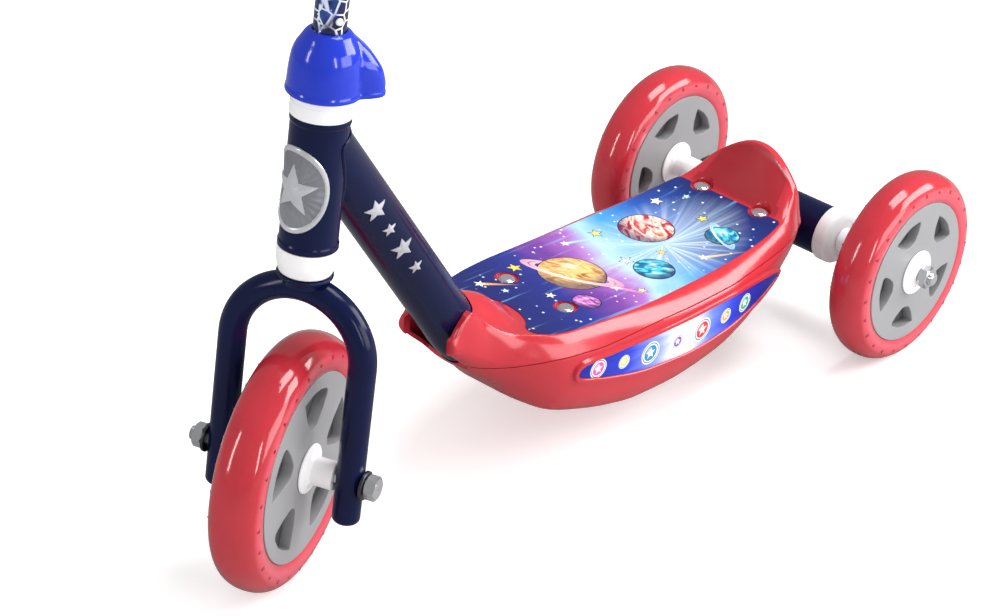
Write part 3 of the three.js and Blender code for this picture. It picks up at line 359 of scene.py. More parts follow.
def main_tube_rings(radius):
    """Rings of points down the main tube, coped to the head tube and to the cross tube."""
    straight_steps, bend_steps, beam_steps = 6, 28, 8
    side = Vector((1, 0, 0))
    rings = []
    offsets = ring_points(Vector(), side, tube_down.cross(side).normalized(), radius, round_sides)
    straight = (tube_corner - tube_down * bend_reach - tube_top).dot(tube_down)
    for step in range(straight_steps):
        ring = []
        for offset in offsets:
            begin = tube_line_start(offset)
            along = begin + (straight - begin) * step / straight_steps
            ring.append(tube_top + offset + tube_down * along)
        rings.append(ring)
    rings += bend_rings(radius, round_sides, bend_steps)
    start_ring = rings[-1]
    end_ring = []
    for point in start_ring:
        height = point.z + tube_back.z * (tube_end.y - point.y) - rear_axle_z
        gap = math.sqrt(max((cross_radius - cope_overlap) ** 2 - height ** 2, 0))
        end_ring.append(point + tube_back * ((rear_axle_y - gap - point.y) / tube_back.y))
    for step in range(1, beam_steps + 1):
        rings.append([a.lerp(b, step / beam_steps) for a, b in zip(start_ring, end_ring)])
    return rings


outer_rings = main_tube_rings(tube_radius)
inner_rings = main_tube_rings(tube_radius - tube_wall)
tube_verts = [p for ring in outer_rings + inner_rings[::-1] for p in ring]
tube_faces = ring_faces(len(outer_rings) * 2, round_sides, joined=True)
make_piece("main_tube_painted", tube_verts, tube_faces, Matrix(), "frame", ["main_tube"],
           [enamel])


def weld_bead(name, line, radius, body, place=Matrix()):
    """A rippled bead along a closed line, as a hand-held torch leaves it."""
    sides, pitch, ripple = 10, 2.4 * mm, 0.07
    verts = []
    walked = 0.0
    for k, point in enumerate(line):
        ahead = (line[(k + 1) % len(line)] - line[k - 1]).normalized()
        walked += (point - line[k - 1]).length
        u = ahead.orthogonal() if abs(ahead.x) > 0.9 else ahead.cross(Vector((1, 0, 0))).normalized()
        swell = radius * (1 + ripple * math.sin(math.tau * walked / pitch))
        verts += ring_points(point, u, ahead.cross(u).normalized(), swell, sides)
    faces = ring_faces(len(line), sides, joined=True)
    make_piece(name, verts, faces, place, body, [], [enamel], sharp=80)


def resampled(line, count):
    """Points at even spacing round a closed line."""
    lengths = [(line[(i + 1) % len(line)] - line[i]).length for i in range(len(line))]
    total = sum(lengths)
    points = []
    at, walked = 0, 0.0
    for k in range(count):
        goal = total * k / count
        while walked + lengths[at] < goal:
            walked += lengths[at]
            at += 1
        points.append(line[at].lerp(line[(at + 1) % len(line)], (goal - walked) / lengths[at]))
    return points


weld_bead("head_weld", resampled(outer_rings[0], 160), 1.2 * mm, "frame")
weld_bead("cross_weld", resampled(outer_rings[-1], 140), 1.4 * mm, "frame")

# The head tube is a short steel tube with a rolled lip at each end. The two headset bushes press
# into it. It is painted with the main tube.
head_lip = 0.55 * mm
head_wall = 1.8 * mm


def rounded(points, steps=5):
    """A closed outline from corners (x, y, radius), with an arc in each corner that has a radius."""
    outline = []
    count = len(points)
    for k, (x, y, radius) in enumerate(points):
        here = Vector((x, y))
        to_last = Vector(points[k - 1][:2]) - here
        to_next = Vector(points[(k + 1) % count][:2]) - here
        if radius <= 0:
            outline.append((x, y))
            continue
        half = to_last.angle(to_next) / 2
        reach = min(radius / math.tan(half), to_last.length * 0.49, to_next.length * 0.49)
        start = here + to_last.normalized() * reach
        end = here + to_next.normalized() * reach
        for i in range(steps + 1):
            t = i / steps
            bent = start.lerp(here, t).lerp(here.lerp(end, t), t)
            outline.append((bent.x, bent.y))
    return outline


def turned_faces(sides, count):
    """Quads round a turned body that has the same outline of points at each of its sides."""
    faces = []
    for i in range(sides):
        here, there = i * count, (i + 1) % sides * count
        for k in range(count):
            m = (k + 1) % count
            faces.append((here + k, there + k, there + m, here + m))
    return faces


def turned(outline, sides=round_sides):
    """A body turned about Z from a closed outline of (radius, height), anticlockwise."""
    verts = []
    for i in range(sides):
        angle = math.tau * i / sides
        verts += [(r * math.cos(angle), r * math.sin(angle), z) for r, z in outline]
    return weld_points(verts, turned_faces(sides, len(outline)))


def weld_points(verts, faces):
    """Merges points that lie together, as on the axis of a turned body."""
    mesh = bmesh.new()
    made = [mesh.verts.new(v) for v in verts]
    for face in faces:
        mesh.faces.new([made[i] for i in face])
    bmesh.ops.remove_doubles(mesh, verts=mesh.verts, dist=0.001 * mm)
    mesh.verts.index_update()
    out = [v.co.copy() for v in mesh.verts], [tuple(v.index for v in f.verts) for f in mesh.faces]
    mesh.free()
    return out


def turned_piece(name, corners, place, body, replaced, materials, sides=round_sides, sharp=38):
    """A turned piece from rounded corners (radius, height, fillet)."""
    verts, faces = turned(rounded(corners), sides)
    return make_piece(name, verts, faces, place, body, replaced, materials, sharp)


head_inner = head_radius - head_wall
turned_piece("head_tube_painted", [
    (head_inner, head_bottom, 0.3 * mm), (head_radius + head_lip, head_bottom, 0.5 * mm),
    (head_radius + head_lip, head_bottom + 3 * mm, 0.5 * mm), (head_radius, head_bottom + 4 * mm, 1 * mm),
    (head_radius, head_top - 4 * mm, 1 * mm), (head_radius + head_lip, head_top - 3 * mm, 0.5 * mm),
    (head_radius + head_lip, head_top, 0.5 * mm), (head_inner, head_top, 0.3 * mm),
], head_frame, "frame", ["head_tube"], [enamel], sides=96)

# The headset bushes are white nylon. Each has a collar that shows past the head tube and a
# sleeve that presses inside it, and the steerer turns in their bores.
collar_height = 12.5 * mm
bush_bore = 11.3 * mm
bush_sleeve = head_inner - 0.3 * mm


def waxy(weight, red_depth, other_depth):
    """How far light sinks into a soft plastic, in metres."""
    return {"Subsurface Weight": weight, "Subsurface Radius": (red_depth, other_depth, other_depth),
            "Subsurface Scale": 1.0}


white_nylon = finish_material(
    "white_nylon", linear(253, 252, 253), 0.34, 520, 0.03, mottle=0.015, scuffs=0.04,
    **waxy(0.12, 0.004, 0.004))
lower_edge = head_bottom - 0.2 * mm
lower_end = head_bottom - collar_height - 3.4 * mm
turned_piece("headset_bush_lower_nylon", [
    (bush_bore, lower_end, 0.3 * mm), (14.6 * mm, lower_end, 2.2 * mm),
    (16.6 * mm, lower_end + 7 * mm, 4 * mm), (16.9 * mm, lower_edge, 0.5 * mm),
    (bush_sleeve, lower_edge, 0), (bush_sleeve, head_bottom + 20 * mm, 0.8 * mm),
    (bush_bore, head_bottom + 20 * mm, 0.3 * mm),
], head_frame, "frame", ["headset_bush_lower"], [white_nylon])
upper_edge = head_top + 0.2 * mm
upper_step = head_top + 8.6 * mm
turned_piece("headset_bush_upper_nylon", [
    (bush_bore, head_top - 20 * mm, 0.3 * mm), (bush_sleeve, head_top - 20 * mm, 0.8 * mm),
    (bush_sleeve, upper_edge, 0), (17.2 * mm, upper_edge, 0.6 * mm),
    (17.2 * mm, upper_step - 0.4 * mm, 0.4 * mm), (16.8 * mm, upper_step, 0.2 * mm),
    (17.1 * mm, upper_step + 0.4 * mm, 0.3 * mm),
    (17.1 * mm, head_top + collar_height, 0.8 * mm), (bush_bore, head_top + collar_height, 0.3 * mm),
], head_frame, "frame", ["headset_bush_upper"], [white_nylon])

# The head badge is an oval medallion of bright silver plastic, bent round the front of the head
# tube and glued on: a raised rim, a ribbed field and a faceted star.


def coated(weight, roughness):
    """A clear glossy film over a finish."""
    return {"Coat Weight": weight, "Coat Roughness": roughness}


silver = finish_material(
    "silver_badge", linear(226, 228, 232), 0.28, 900, 0.04, mottle=0.1, scuffs=0.1, Metallic=0.55,
    **coated(0.3, 0.1))
silver_dark = finish_material(
    "silver_field", linear(152, 155, 162), 0.4, 1500, 0.12, mottle=0.2, Metallic=0.5)
badge_height = 171.6 * mm
badge_wide = 20.5 * mm
badge_tall = 24.8 * mm


def joined_mesh(name, parts):
    """One mesh from several (mesh or (verts, faces), matrix, material index) parts."""
    whole = bmesh.new()
    for part, matrix, index in parts:
        mesh = mesh_of(*part) if isinstance(part, tuple) else part.copy()
        mesh.transform(matrix)
        for polygon in mesh.polygons:
            polygon.material_index = index
        whole.from_mesh(mesh)
        bpy.data.meshes.remove(mesh)
    mesh = bpy.data.meshes.new(name)
    whole.to_mesh(mesh)
    whole.free()
    return mesh


def on_head(u, v, lift):
    """A point on the head tube's front, across and up it, lifted off its paint."""
    angle = -math.pi / 2 + u / head_radius
    r = head_radius + lift
    return Vector((r * math.cos(angle), r * math.sin(angle), badge_height + v))


def badge_plate():
    """The medallion's plate: buried edge, rounded rim, then the ribbed field."""
    sides = 240
    rows = [(1.0, -0.3), (1.0, 0.7), (0.985, 1.15), (0.955, 1.4), (0.91, 1.4), (0.88, 1.1), (0.87, 0.7),
            (0.86, 0.6), (0.74, 0.6), (0.6, 0.6), (0.48, 0.6), (0.36, 0.6), (0.2, 0.6), (0.05, 0.6)]
    verts, marks = [], []
    for share, lift in rows:
        for i in range(sides):
            angle = math.tau * i / sides
            ribs = 0.16 * math.cos(angle * 30) if 0.3 < share < 0.87 else 0
            u, v = badge_wide * share * math.cos(angle), badge_tall * share * math.sin(angle)
            verts.append(on_head(u, v, (lift + ribs) * mm))
    faces = ring_faces(len(rows), sides)
    faces.append(tuple(range((len(rows) - 1) * sides, len(rows) * sides)))
    for row in range(len(rows) - 1):
        marks += [1 if row >= 6 else 0] * sides
    return verts, faces, marks + [1]


def faceted_star(place, tip, valley, peak, base, turn=0.0):
    """A five-pointed star with a ridge to each point. The place function wraps it on its tube."""
    cells = 7
    verts, faces = [], []
    corners = []
    for k in range(10):
        r = tip if k % 2 == 0 else valley
        angle = turn + math.pi / 2 + math.pi * k / 5
        corners.append((r * math.cos(angle), r * math.sin(angle)))
    for k in range(10):
        (ax, ay), (bx, by) = corners[k], corners[(k + 1) % 10]
        start = len(verts)
        for i in range(cells + 1):
            for j in range(i + 1):
                out = i / cells
                side = j / i if i else 0
                x, y = (ax + (bx - ax) * side) * out, (ay + (by - ay) * side) * out
                verts.append(place(x, y, peak + (base - peak) * out))
        for i in range(cells):
            low, high = start + i * (i + 1) // 2, start + (i + 1) * (i + 2) // 2
            for j in range(i + 1):
                faces.append((low + j, high + j, high + j + 1))
                if j < i:
                    faces.append((low + j, high + j + 1, low + j + 1))
        skirt = len(verts)
        for j in range(cells + 1):
            side = j / cells
            verts.append(place(ax + (bx - ax) * side, ay + (by - ay) * side, -0.3 * mm))
        rim = start + cells * (cells + 1) // 2
        for j in range(cells):
            faces.append((rim + j, skirt + j, skirt + j + 1, rim + j + 1))
    return weld_points(verts, faces)


verts, faces, marks = badge_plate()
star = faceted_star(on_head, 15 * mm, 6.4 * mm, 2.3 * mm, 1.2 * mm)
badge_mesh = joined_mesh("head_badge", [((verts, faces), Matrix(), 0), (star, Matrix(), 0)])
for polygon, mark in zip(badge_mesh.polygons, marks):
    polygon.material_index = mark
dress_mesh("head_badge", badge_mesh, head_frame, "frame", [], [silver, silver_dark], 24)

# Four silver star stickers in two sizes run down each side of the main tube. They are pressed film,
# raised to a ridge in each point, and stuck on the paint.
sticker_silver = finish_material(
    "silver_sticker", linear(205, 206, 212), 0.3, 900, 0.03, mottle=0.12, Metallic=0.35, **coated(0.3, 0.1))
sticker_angle = math.radians(13)
sticker_places = [(58 * mm, 7.6 * mm), (78 * mm, 4.6 * mm), (98 * mm, 7.6 * mm), (118 * mm, 4.6 * mm)]
for side, word in ((1, "left"), (-1, "right")):
    parts = []
    for along, size in sticker_places:
        def on_tube(u, v, lift, along=along, side=side):
            """A point on the main tube's side, across and along it, lifted off its paint."""
            angle = sticker_angle + u / tube_radius
            under = tube_down.cross(Vector((1, 0, 0))).normalized()
            out = Vector((side, 0, 0)) * math.cos(angle) + under * math.sin(angle)
            return tube_top + tube_down * (along + v * side) + out * (tube_radius + lift)
        parts.append((faceted_star(on_tube, size, size * 0.45, 1.1 * mm, 0.5 * mm, 0.3), Matrix(), 0))
    mesh = joined_mesh(f"star_stickers_{word}", parts)
    dress_mesh(f"star_stickers_{word}", mesh, Matrix(), "frame", [], [sticker_silver], 24)

# The cross tube is welded across the end of the main tube. White nylon caps close its ends, and
# the rear axle runs through both caps and carries the wheels and their nuts.
cross_half = 41 * mm
cap_radius = 18 * mm
cap_end = cross_half + 11.5 * mm
axle_radius = 4 * mm
along_x = Matrix.Rotation(math.pi / 2, 4, "Y")
half_turn = Matrix.Rotation(math.pi, 4, "Z")
facings = {"left": along_x, "right": half_turn @ along_x}
turned_piece("rear_cross_tube_painted", [
    (cross_radius - tube_wall, -cross_half, 0.3 * mm), (cross_radius, -cross_half, 0.4 * mm),
    (cross_radius, cross_half, 0.4 * mm), (cross_radius - tube_wall, cross_half, 0.3 * mm),
], rear_axle_frame @ along_x, "frame", ["rear_cross_tube"], [enamel])
chrome = finish_material(
    "bright_zinc", linear(214, 216, 220), 0.13, 900, 0.01, mottle=0.06, scuffs=0.14, Metallic=0.8)
dark_steel = finish_material(
    "plain_steel", linear(92, 94, 98), 0.36, 800, 0.03, mottle=0.1, scuffs=0.15, Metallic=1.0)
thread_pitch = 1.25 * mm


def threaded_end(radius, start, end, pitch):
    """Corners of a threaded bar's end, as close rings with a bevelled tip."""
    corners = []
    turns = int((end - start) / pitch)
    for k in range(turns):
        low = start + pitch * k
        corners += [(radius, low + pitch * 0.3, 0), (radius - pitch * 0.45, low + pitch * 0.8, 0)]
    return corners + [(radius, end - pitch * 0.4, 0), (radius - 0.8 * mm, end, 0.2 * mm), (0, end, 0)]


wheel_offset = 96.8 * mm
rear_half = 12.8 * mm
bush_flange = 2.2 * mm
outer_sleeve = 2.4 * mm
nut_gap = 0.6 * mm
axle_nut_in = wheel_offset + rear_half + bush_flange + outer_sleeve + nut_gap
nut_length = 6.4 * mm
nut_flats = 12.6 * mm
nut_bore = axle_radius + 0.1 * mm
thread_left = 2.6 * mm
axle_end = axle_nut_in + nut_length + thread_left
half_axle = threaded_end(axle_radius, axle_nut_in - 2 * mm, axle_end, thread_pitch)
mirrored_axle = [(r, -z, f) for r, z, f in reversed(half_axle)]
turned_piece(
    "rear_axle_rod", mirrored_axle + half_axle, rear_axle_frame @ along_x, "frame",
    ["rear_axle"], [chrome], sides=32)


def hex_nut(across_flats, bottom, top, bore):
    """A hexagon about Z whose corners are turned down by a cone at both ends."""
    steps, chamfer = 72, 0.55 * mm
    flat = across_flats / 2
    verts = []
    rows = [(bore, bottom), (flat - chamfer, bottom), None, None, (flat - chamfer, top), (bore, top)]
    for i in range(steps):
        angle = math.tau * i / steps
        local = (angle + math.pi / 6) % (math.pi / 3) - math.pi / 6
        reach = flat / math.cos(local)
        drop = (reach - flat + chamfer) * 0.6
        for k, row in enumerate(rows):
            r, z = row if row else (reach, bottom + drop if k == 2 else top - drop)
            verts.append((r * math.cos(angle), r * math.sin(angle), z))
    return verts, turned_faces(steps, len(rows))


for word, facing in facings.items():
    turned_piece(f"cross_tube_cap_{word}_nylon", [
        (axle_radius + 0.3 * mm, cross_half - 9.7 * mm, 0), (14.4 * mm, cross_half - 9.7 * mm, 0.6 * mm),
        (14.4 * mm, cross_half + 0.2 * mm, 0), (cap_radius, cross_half + 0.2 * mm, 0.8 * mm),
        (cap_radius, cap_end - 2 * mm, 3 * mm), (cap_radius - 5 * mm, cap_end, 2 * mm),
        (axle_radius + 0.3 * mm, cap_end, 0.3 * mm),
    ], rear_axle_frame @ facing, "frame", [f"cross_tube_cap_{word}"], [white_nylon])
    verts, faces = hex_nut(nut_flats, axle_nut_in, axle_nut_in + nut_length, nut_bore)
    make_piece(
        f"rear_axle_nut_{word}_plated", verts, faces, rear_axle_frame @ facing, "frame",
        [f"rear_axle_nut_{word}"], [chrome], sharp=25)

# Each wheel is a grey nylon disc with five blind windows in each face, and a clear red soft
# tyre moulded round it. Small triangles and dots are embossed on the tyre's walls.


def ramp(value, stops):
    """A colour from a list of (place, (red, green, blue))."""
    made = new_node(value.id_data, "ShaderNodeValToRGB", inputs={"Fac": value})
    elements = made.color_ramp.elements
    for element, (place, colour) in zip(elements, (stops[0], stops[-1])):
        element.position = place
        element.color = linear(*colour)
    for place, colour in stops[1:-1]:
        elements.new(place).color = linear(*colour)
    return made.outputs[0]


def tyre_colour(tree, radius, disc_radius):
    """Red that deepens towards the crown, where the clear plastic is thickest."""
    place = new_node(tree, "ShaderNodeTexCoord")
    parts = new_node(tree, "ShaderNodeSeparateXYZ", inputs={0: place.outputs["Object"]})
    flat = new_node(tree, "ShaderNodeCombineXYZ", inputs={"X": parts.outputs["X"], "Y": parts.outputs["Y"]})
    out = new_node(tree, "ShaderNodeVectorMath", operation="LENGTH", inputs={0: flat.outputs[0]})
    share = new_node(tree, "ShaderNodeMapRange", inputs={
        "Value": out.outputs["Value"], "From Min": disc_radius, "From Max": radius})
    return ramp(share.outputs[0], [
        (0, (202, 58, 72)), (0.22, (212, 84, 98)), (0.52, (208, 76, 90)), (0.66, (188, 46, 58)),
        (1, (192, 48, 60))])


def tyre_material(name, radius, disc_radius):
    """Clear red soft plastic for a tyre of these sizes."""
    return finish_material(
        name, lambda tree: tyre_colour(tree, radius, disc_radius), 0.13, 420, 0.05, mottle=0.05, scuffs=0.05,
        **waxy(0.25, 0.006, 0.001), **coated(0.5, 0.05))


tyre_mark = finish_material("tyre_mark", linear(166, 40, 52), 0.2, 420, 0.02)
disc_nylon = finish_material("disc_nylon", linear(150, 150, 152), 0.42, 480, 0.04, mottle=0.02, scuffs=0.05)
# The windows' floors are a darker grey: painted shade in the recesses.
window_floor_painted_shade = finish_material("window_floor_painted_shade", linear(82, 82, 84), 0.5, 480, 0.04, mottle=0.03)


turned_over = Matrix.Rotation(math.pi, 4, "X")
hub_bore = 7.3 * mm
window_count = 5
window_depth = 7 * mm
window_in = 24.2 * mm
window_rim = 8.5 * mm
tyre_belly = 0.3
mark_share = 0.44
mark_shapes = [(3, 2.1 * mm), (12, 1.3 * mm)]
mark_proud = 0.12 * mm
mark_depth = 1.2 * mm


def window_outline(inner, outer):
    """One fan-shaped window: narrow at the hub, wide at the rim, with one sharper corner."""
    lead, side, low = math.radians(20), math.radians(17), math.radians(8)
    depth = outer - inner
    waist = inner + depth * 0.45
    places = [(inner, -low, depth * 0.4), (waist, -side, depth * 0.9), (outer * 0.985, -lead, depth * 0.42)]
    for i in range(3, 9):
        places.append((outer, -lead + 2 * lead * i / 8, 0.6 * mm if i == 8 else 0))
    places += [(waist, side, depth * 0.9), (inner, low, depth * 0.4)]
    return rounded([(r * math.cos(angle), r * math.sin(angle), bend) for r, angle, bend in places], 7)


def plate_mesh(outlines, bottom, top, bevel):
    """A flat plate with holes, its edges rounded: the first outline is its edge, the others its holes."""
    curve = bpy.data.curves.new("plate", "CURVE")
    curve.dimensions = "2D"
    curve.fill_mode = "BOTH"
    curve.extrude = (top - bottom) / 2 - bevel
    curve.bevel_depth = bevel
    curve.bevel_resolution = 2
    curve.offset = -bevel
    for outline in outlines:
        spline = curve.splines.new("POLY")
        spline.points.add(len(outline) - 1)
        for point, (x, y) in zip(spline.points, outline):
            point.co = (x, y, 0, 1)
        spline.use_cyclic_u = True
    holder = bpy.data.objects.new("plate", curve)
    bpy.context.scene.collection.objects.link(holder)
    bpy.context.view_layer.update()
    mesh = bpy.data.meshes.new_from_object(holder.evaluated_get(bpy.context.evaluated_depsgraph_get()))
    bpy.data.objects.remove(holder)
    mesh.transform(Matrix.Translation((0, 0, (top + bottom) / 2)))
    return mesh


def circle(radius, steps=96, x=0.0, y=0.0):
    """Points round a circle in a plane."""
    angles = [math.tau * i / steps for i in range(steps)]
    return [(x + radius * math.cos(a), y + radius * math.sin(a)) for a in angles]


def tyre_mesh(prefix, radius, half, disc_radius, disc_half):
    """The tyre's turned body with the triangles and dots embossed on both walls."""
    middle = disc_radius + (radius - disc_radius) * tyre_belly
    bore = disc_radius + 0.25 * mm
    profile = [(bore, -disc_half * 0.95)]
    steps = 30
    for i in range(steps + 1):
        angle = -math.pi / 2 + math.pi * i / steps
        swell = math.copysign(abs(math.sin(angle)) ** 0.9, math.sin(angle))
        profile.append((middle + (radius - middle) * math.cos(angle) ** 0.95, half * swell))
    profile.append((bore, disc_half * 0.95))
    parts = [(turned(profile, 128), Matrix(), 0)]
    mark_count = 26 if radius > 70 * mm else 24
    mark_out = disc_radius + (radius - disc_radius) * mark_share
    for face in (1, -1):
        for k in range(mark_count):
            sides, size = mark_shapes[k % 2]
            verts = [(x, y, z) for z in (-mark_depth, mark_proud) for x, y in circle(size, sides)]
            faces = ring_faces(2, sides) + [tuple(range(sides, sides * 2)), tuple(reversed(range(sides)))]
            spot = Matrix.Rotation(math.tau * k / mark_count, 4, "Z")
            spot = spot @ Matrix.Translation((mark_out, 0, face * half * 0.98))
            if face < 0:
                spot = spot @ turned_over
            parts.append(((verts, faces), spot, 1))
    return joined_mesh(f"{prefix}_tyre_clear", parts)


def disc_mesh(prefix, disc_radius, disc_half, phase):
    """The disc's core, in a darker grey as painted shade for the windows' floors, between two pale faces that
    are pierced by the windows.
    """
    core_half = disc_half - window_depth
    core_edge = disc_radius - 0.5 * mm
    plates = []
    for face in (1, -1):
        outlines = [circle(disc_radius), circle(hub_bore, 48)]
        for i in range(window_count):
            turn = Matrix.Rotation(face * (phase + math.pi / 2 + math.tau * i / window_count), 2)
            window = window_outline(window_in, disc_radius - window_rim)
            outlines.append([tuple(turn @ Vector(point)) for point in window])
        plate = plate_mesh(outlines, core_half - 0.1 * mm, disc_half, 0.45 * mm)
        plates.append((plate, Matrix() if face > 0 else turned_over, 0))
    core = turned([(hub_bore, -core_half), (core_edge, -core_half), (core_edge, core_half),
                   (hub_bore, core_half)], 96)
    return joined_mesh(f"{prefix}_disc_moulded", plates + [(core, Matrix(), 1)])


def add_wheel(prefix, place, body, radius, half, disc_radius, disc_half, phase):
    """A tyre with its embossed marks, and a disc with its windows, about the local Z axis."""
    dress_mesh(
        f"{prefix}_tyre_clear", tyre_mesh(prefix, radius, half, disc_radius, disc_half), place, body,
        [f"{prefix}_tyre"], [tyre_material(f"{prefix}_tyre_red", radius, disc_radius), tyre_mark])
    dress_mesh(
        f"{prefix}_disc_moulded", disc_mesh(prefix, disc_radius, disc_half, phase), place, body,
        [f"{prefix}_disc"], [disc_nylon, window_floor_painted_shade])


def add_bush(name, node, place, body, half, sleeve_radius, sleeve_length):
    """A white flanged bush on the outside of a disc."""
    bore = axle_radius + 0.3 * mm
    face = half + 0.2 * mm
    top = face + bush_flange
    end = top + sleeve_length
    turned_piece(name, [
        (bore, half - 9 * mm, 0), (7 * mm, half - 9 * mm, 0), (7 * mm, face, 0), (14.7 * mm, face, 0.6 * mm),
        (14.5 * mm, face + 1.1 * mm, 0.5 * mm), (sleeve_radius + 2.2 * mm, top, 1 * mm),
        (sleeve_radius, top + 2 * mm, 1 * mm), (sleeve_radius, end, 0.4 * mm), (bore, end, 0.2 * mm),
    ], place, body, [node], [white_nylon])


rear_window_phase = math.radians(40)
inner_sleeve = wheel_offset - rear_half - 2.5 * mm - cap_end - 0.3 * mm
for side, (word, facing) in zip((1, -1), facings.items()):
    hub = Matrix.Translation((side * rear_hub_x, rear_axle_y, rear_axle_z))
    body = f"rear_{word}_wheel"
    add_wheel(body, hub @ along_x, body, 62.5 * mm, 13.6 * mm, 46.5 * mm, rear_half, rear_window_phase)
    add_bush(f"rear_{word}_bush_inner_nylon", f"rear_{word}_bush_inner", hub @ half_turn @ facing, body,
             rear_half, 8 * mm, inner_sleeve)
    add_bush(f"rear_{word}_bush_outer_nylon", f"rear_{word}_bush_outer", hub @ facing, body,
             rear_half, 7.4 * mm, outer_sleeve)

# The front wheel is the same make as the rear ones, larger. Its bushes fill the space between
# the disc and the fork's legs.
front_half = 14 * mm
leg_offset = 39 * mm
leg_radius = 8 * mm
add_wheel("front_wheel", fork_frame @ along_x, "front_wheel", 75 * mm, 15.5 * mm, 55.8 * mm, front_half,
          math.radians(159))
front_sleeve = leg_offset - leg_radius - 0.3 * mm - front_half - 2.5 * mm
for word, facing in facings.items():
    add_bush(f"front_wheel_bush_{word}_nylon", f"front_wheel_bush_{word}", fork_frame @ facing, "front_wheel",
             front_half, 8.2 * mm, front_sleeve)

# The fork is one steel tube bent into an arch, its two ends closed and rounded. The crown ring
# is welded on top of the arch, round the foot of the steerer.
arch_rise = 70 * mm
leg_drop = 27 * mm
arch_top = arch_rise + leg_offset + leg_radius
crown_top = arch_top + 1.5 * mm
crown_bottom = crown_top - 6.6 * mm


def swept(line, radius, sides, scales):
    """A closed round bar along a line of points in the local XZ plane."""
    verts = []
    for k, point in enumerate(line):
        ahead = (line[min(k + 1, len(line) - 1)] - line[max(k - 1, 0)]).normalized()
        across = Vector((0, 1, 0))
        verts += ring_points(point, across, ahead.cross(across).normalized(), radius * scales[k], sides)
    last = (len(line) - 1) * sides
    faces = ring_faces(len(line), sides)
    return verts, faces + [tuple(reversed(range(sides))), tuple(range(last, last + sides))]


def fork_line():
    """Points along the fork tube from one end to the other, and the tube's scale at each."""
    dome, straight = 8 * mm, 12
    line, scales = [], []
    for i in range(9):
        angle = math.pi / 2 * i / 8
        line.append(Vector((-leg_offset, 0, -leg_drop + (1 - math.cos(angle)) * leg_radius * 0.55)))
        scales.append(max(math.sin(angle), 0.02))
    for i in range(straight + 1):
        line.append(Vector((-leg_offset, 0, -leg_drop + dome + (arch_rise + leg_drop - dome) * i / straight)))
        scales.append(1.0)
    left_leg = list(zip(line, scales))
    for i in range(1, 48):
        angle = math.pi * (1 - i / 48)
        line.append(Vector((leg_offset * math.cos(angle), 0, arch_rise + leg_offset * math.sin(angle))))
        scales.append(1.0)
    for point, scale in reversed(left_leg):
        line.append(Vector((-point.x, 0, point.z)))
        scales.append(scale)
    return line, scales


def cutter_object(verts, faces, materials=(), marks=None):
    """A closed body as an object, for cutting with or for being cut."""
    mesh = mesh_of(verts, faces)
    for material in materials:
        mesh.materials.append(material)
    if marks:
        mesh.polygons.foreach_set("material_index", marks)
    holder = bpy.data.objects.new("cutter", mesh)
    bpy.context.scene.collection.objects.link(holder)
    return holder


def cut_mesh(verts, faces, cutters, within=None, materials=(), marks=None):
    """What is left of a closed body after cutters, each (verts, faces), are taken away."""
    holder = cutter_object(verts, faces, materials, marks)
    tools = []
    wanted = [(within, "INTERSECT")] if within else []
    for tool, operation in wanted + [(cutter, "DIFFERENCE") for cutter in cutters]:
        tools.append(cutter_object(*tool))
        change = holder.modifiers.new("cut", "BOOLEAN")
        change.operation = operation
        change.solver = "EXACT"
        change.object = tools[-1]
    bpy.context.view_layer.update()
    mesh = bpy.data.meshes.new_from_object(holder.evaluated_get(bpy.context.evaluated_depsgraph_get()))
    for used in [holder] + tools:
        bpy.data.objects.remove(used)
    return mesh


fork_points, fork_scales = fork_line()
verts, faces = swept(fork_points, leg_radius, 40, fork_scales)
make_piece("fork_painted", verts, faces, fork_frame, "steering", ["fork"], [enamel], sharp=50)
arch_cutter = swept(fork_points, leg_radius + 0.1 * mm, 40, fork_scales)
crown = turned(rounded([
    (11.2 * mm, crown_bottom, 0), (11.9 * mm, crown_bottom, 0), (12.3 * mm, crown_top - 4 * mm, 1.5 * mm),
    (15.6 * mm, crown_top - 1.8 * mm, 1 * mm), (15.8 * mm, crown_top, 0.6 * mm),
    (11.3 * mm, crown_top, 0.3 * mm)]), 64)
crown_mesh = cut_mesh(*crown, [arch_cutter])
dress_mesh("crown_ring_painted", crown_mesh, fork_frame, "steering", ["crown_ring"], [enamel])


def finish_node(node, material):
    """A finish for a hidden part that keeps its own solid."""
    for slot in frame["nodes"][node].material_slots:
        slot.material = material


finish_node("steerer_tube", enamel)

# The front axle is a long zinc-plated bolt: its head is on the left and its nut on the right, each
# tightened on a plain steel washer against a leg of the fork.
washer_in = leg_offset + leg_radius + 0.3 * mm
washer_out = washer_in + 1.8 * mm
head_in = washer_out + 0.3 * mm
tail_corners = threaded_end(axle_radius, head_in - 2 * mm, head_in + nut_length + thread_left, thread_pitch)
shank = turned(rounded([(0, -head_in - 1 * mm, 0), (axle_radius, -head_in - 1 * mm, 0)] + tail_corners), 32)
bolt_head = hex_nut(nut_flats, head_in, head_in + 7 * mm, 0.5 * mm)
bolt = joined_mesh("front_axle_bolt_plated", [
    (shank, Matrix.Rotation(math.pi, 4, "Y"), 0), (bolt_head, Matrix(), 0)])
dress_mesh("front_axle_bolt_plated", bolt, fork_frame @ along_x, "steering",
           ["front_axle_bolt"], [chrome], 25)
verts, faces = hex_nut(nut_flats, head_in, head_in + nut_length, nut_bore)
make_piece("front_axle_nut_plated", verts, faces, fork_frame @ facings["right"], "steering",
           ["front_axle_nut"], [chrome], sharp=25)
for word, facing in facings.items():
    turned_piece(f"front_axle_washer_{word}_steel", [
        (axle_radius + 0.3 * mm, washer_in, 0.2 * mm), (8.5 * mm, washer_in, 0.3 * mm),
        (8.5 * mm, washer_out, 0.4 * mm), (axle_radius + 0.3 * mm, washer_out, 0.2 * mm),
    ], fork_frame @ facing, "steering", [f"front_axle_washer_{word}"], [dark_steel], sides=48)

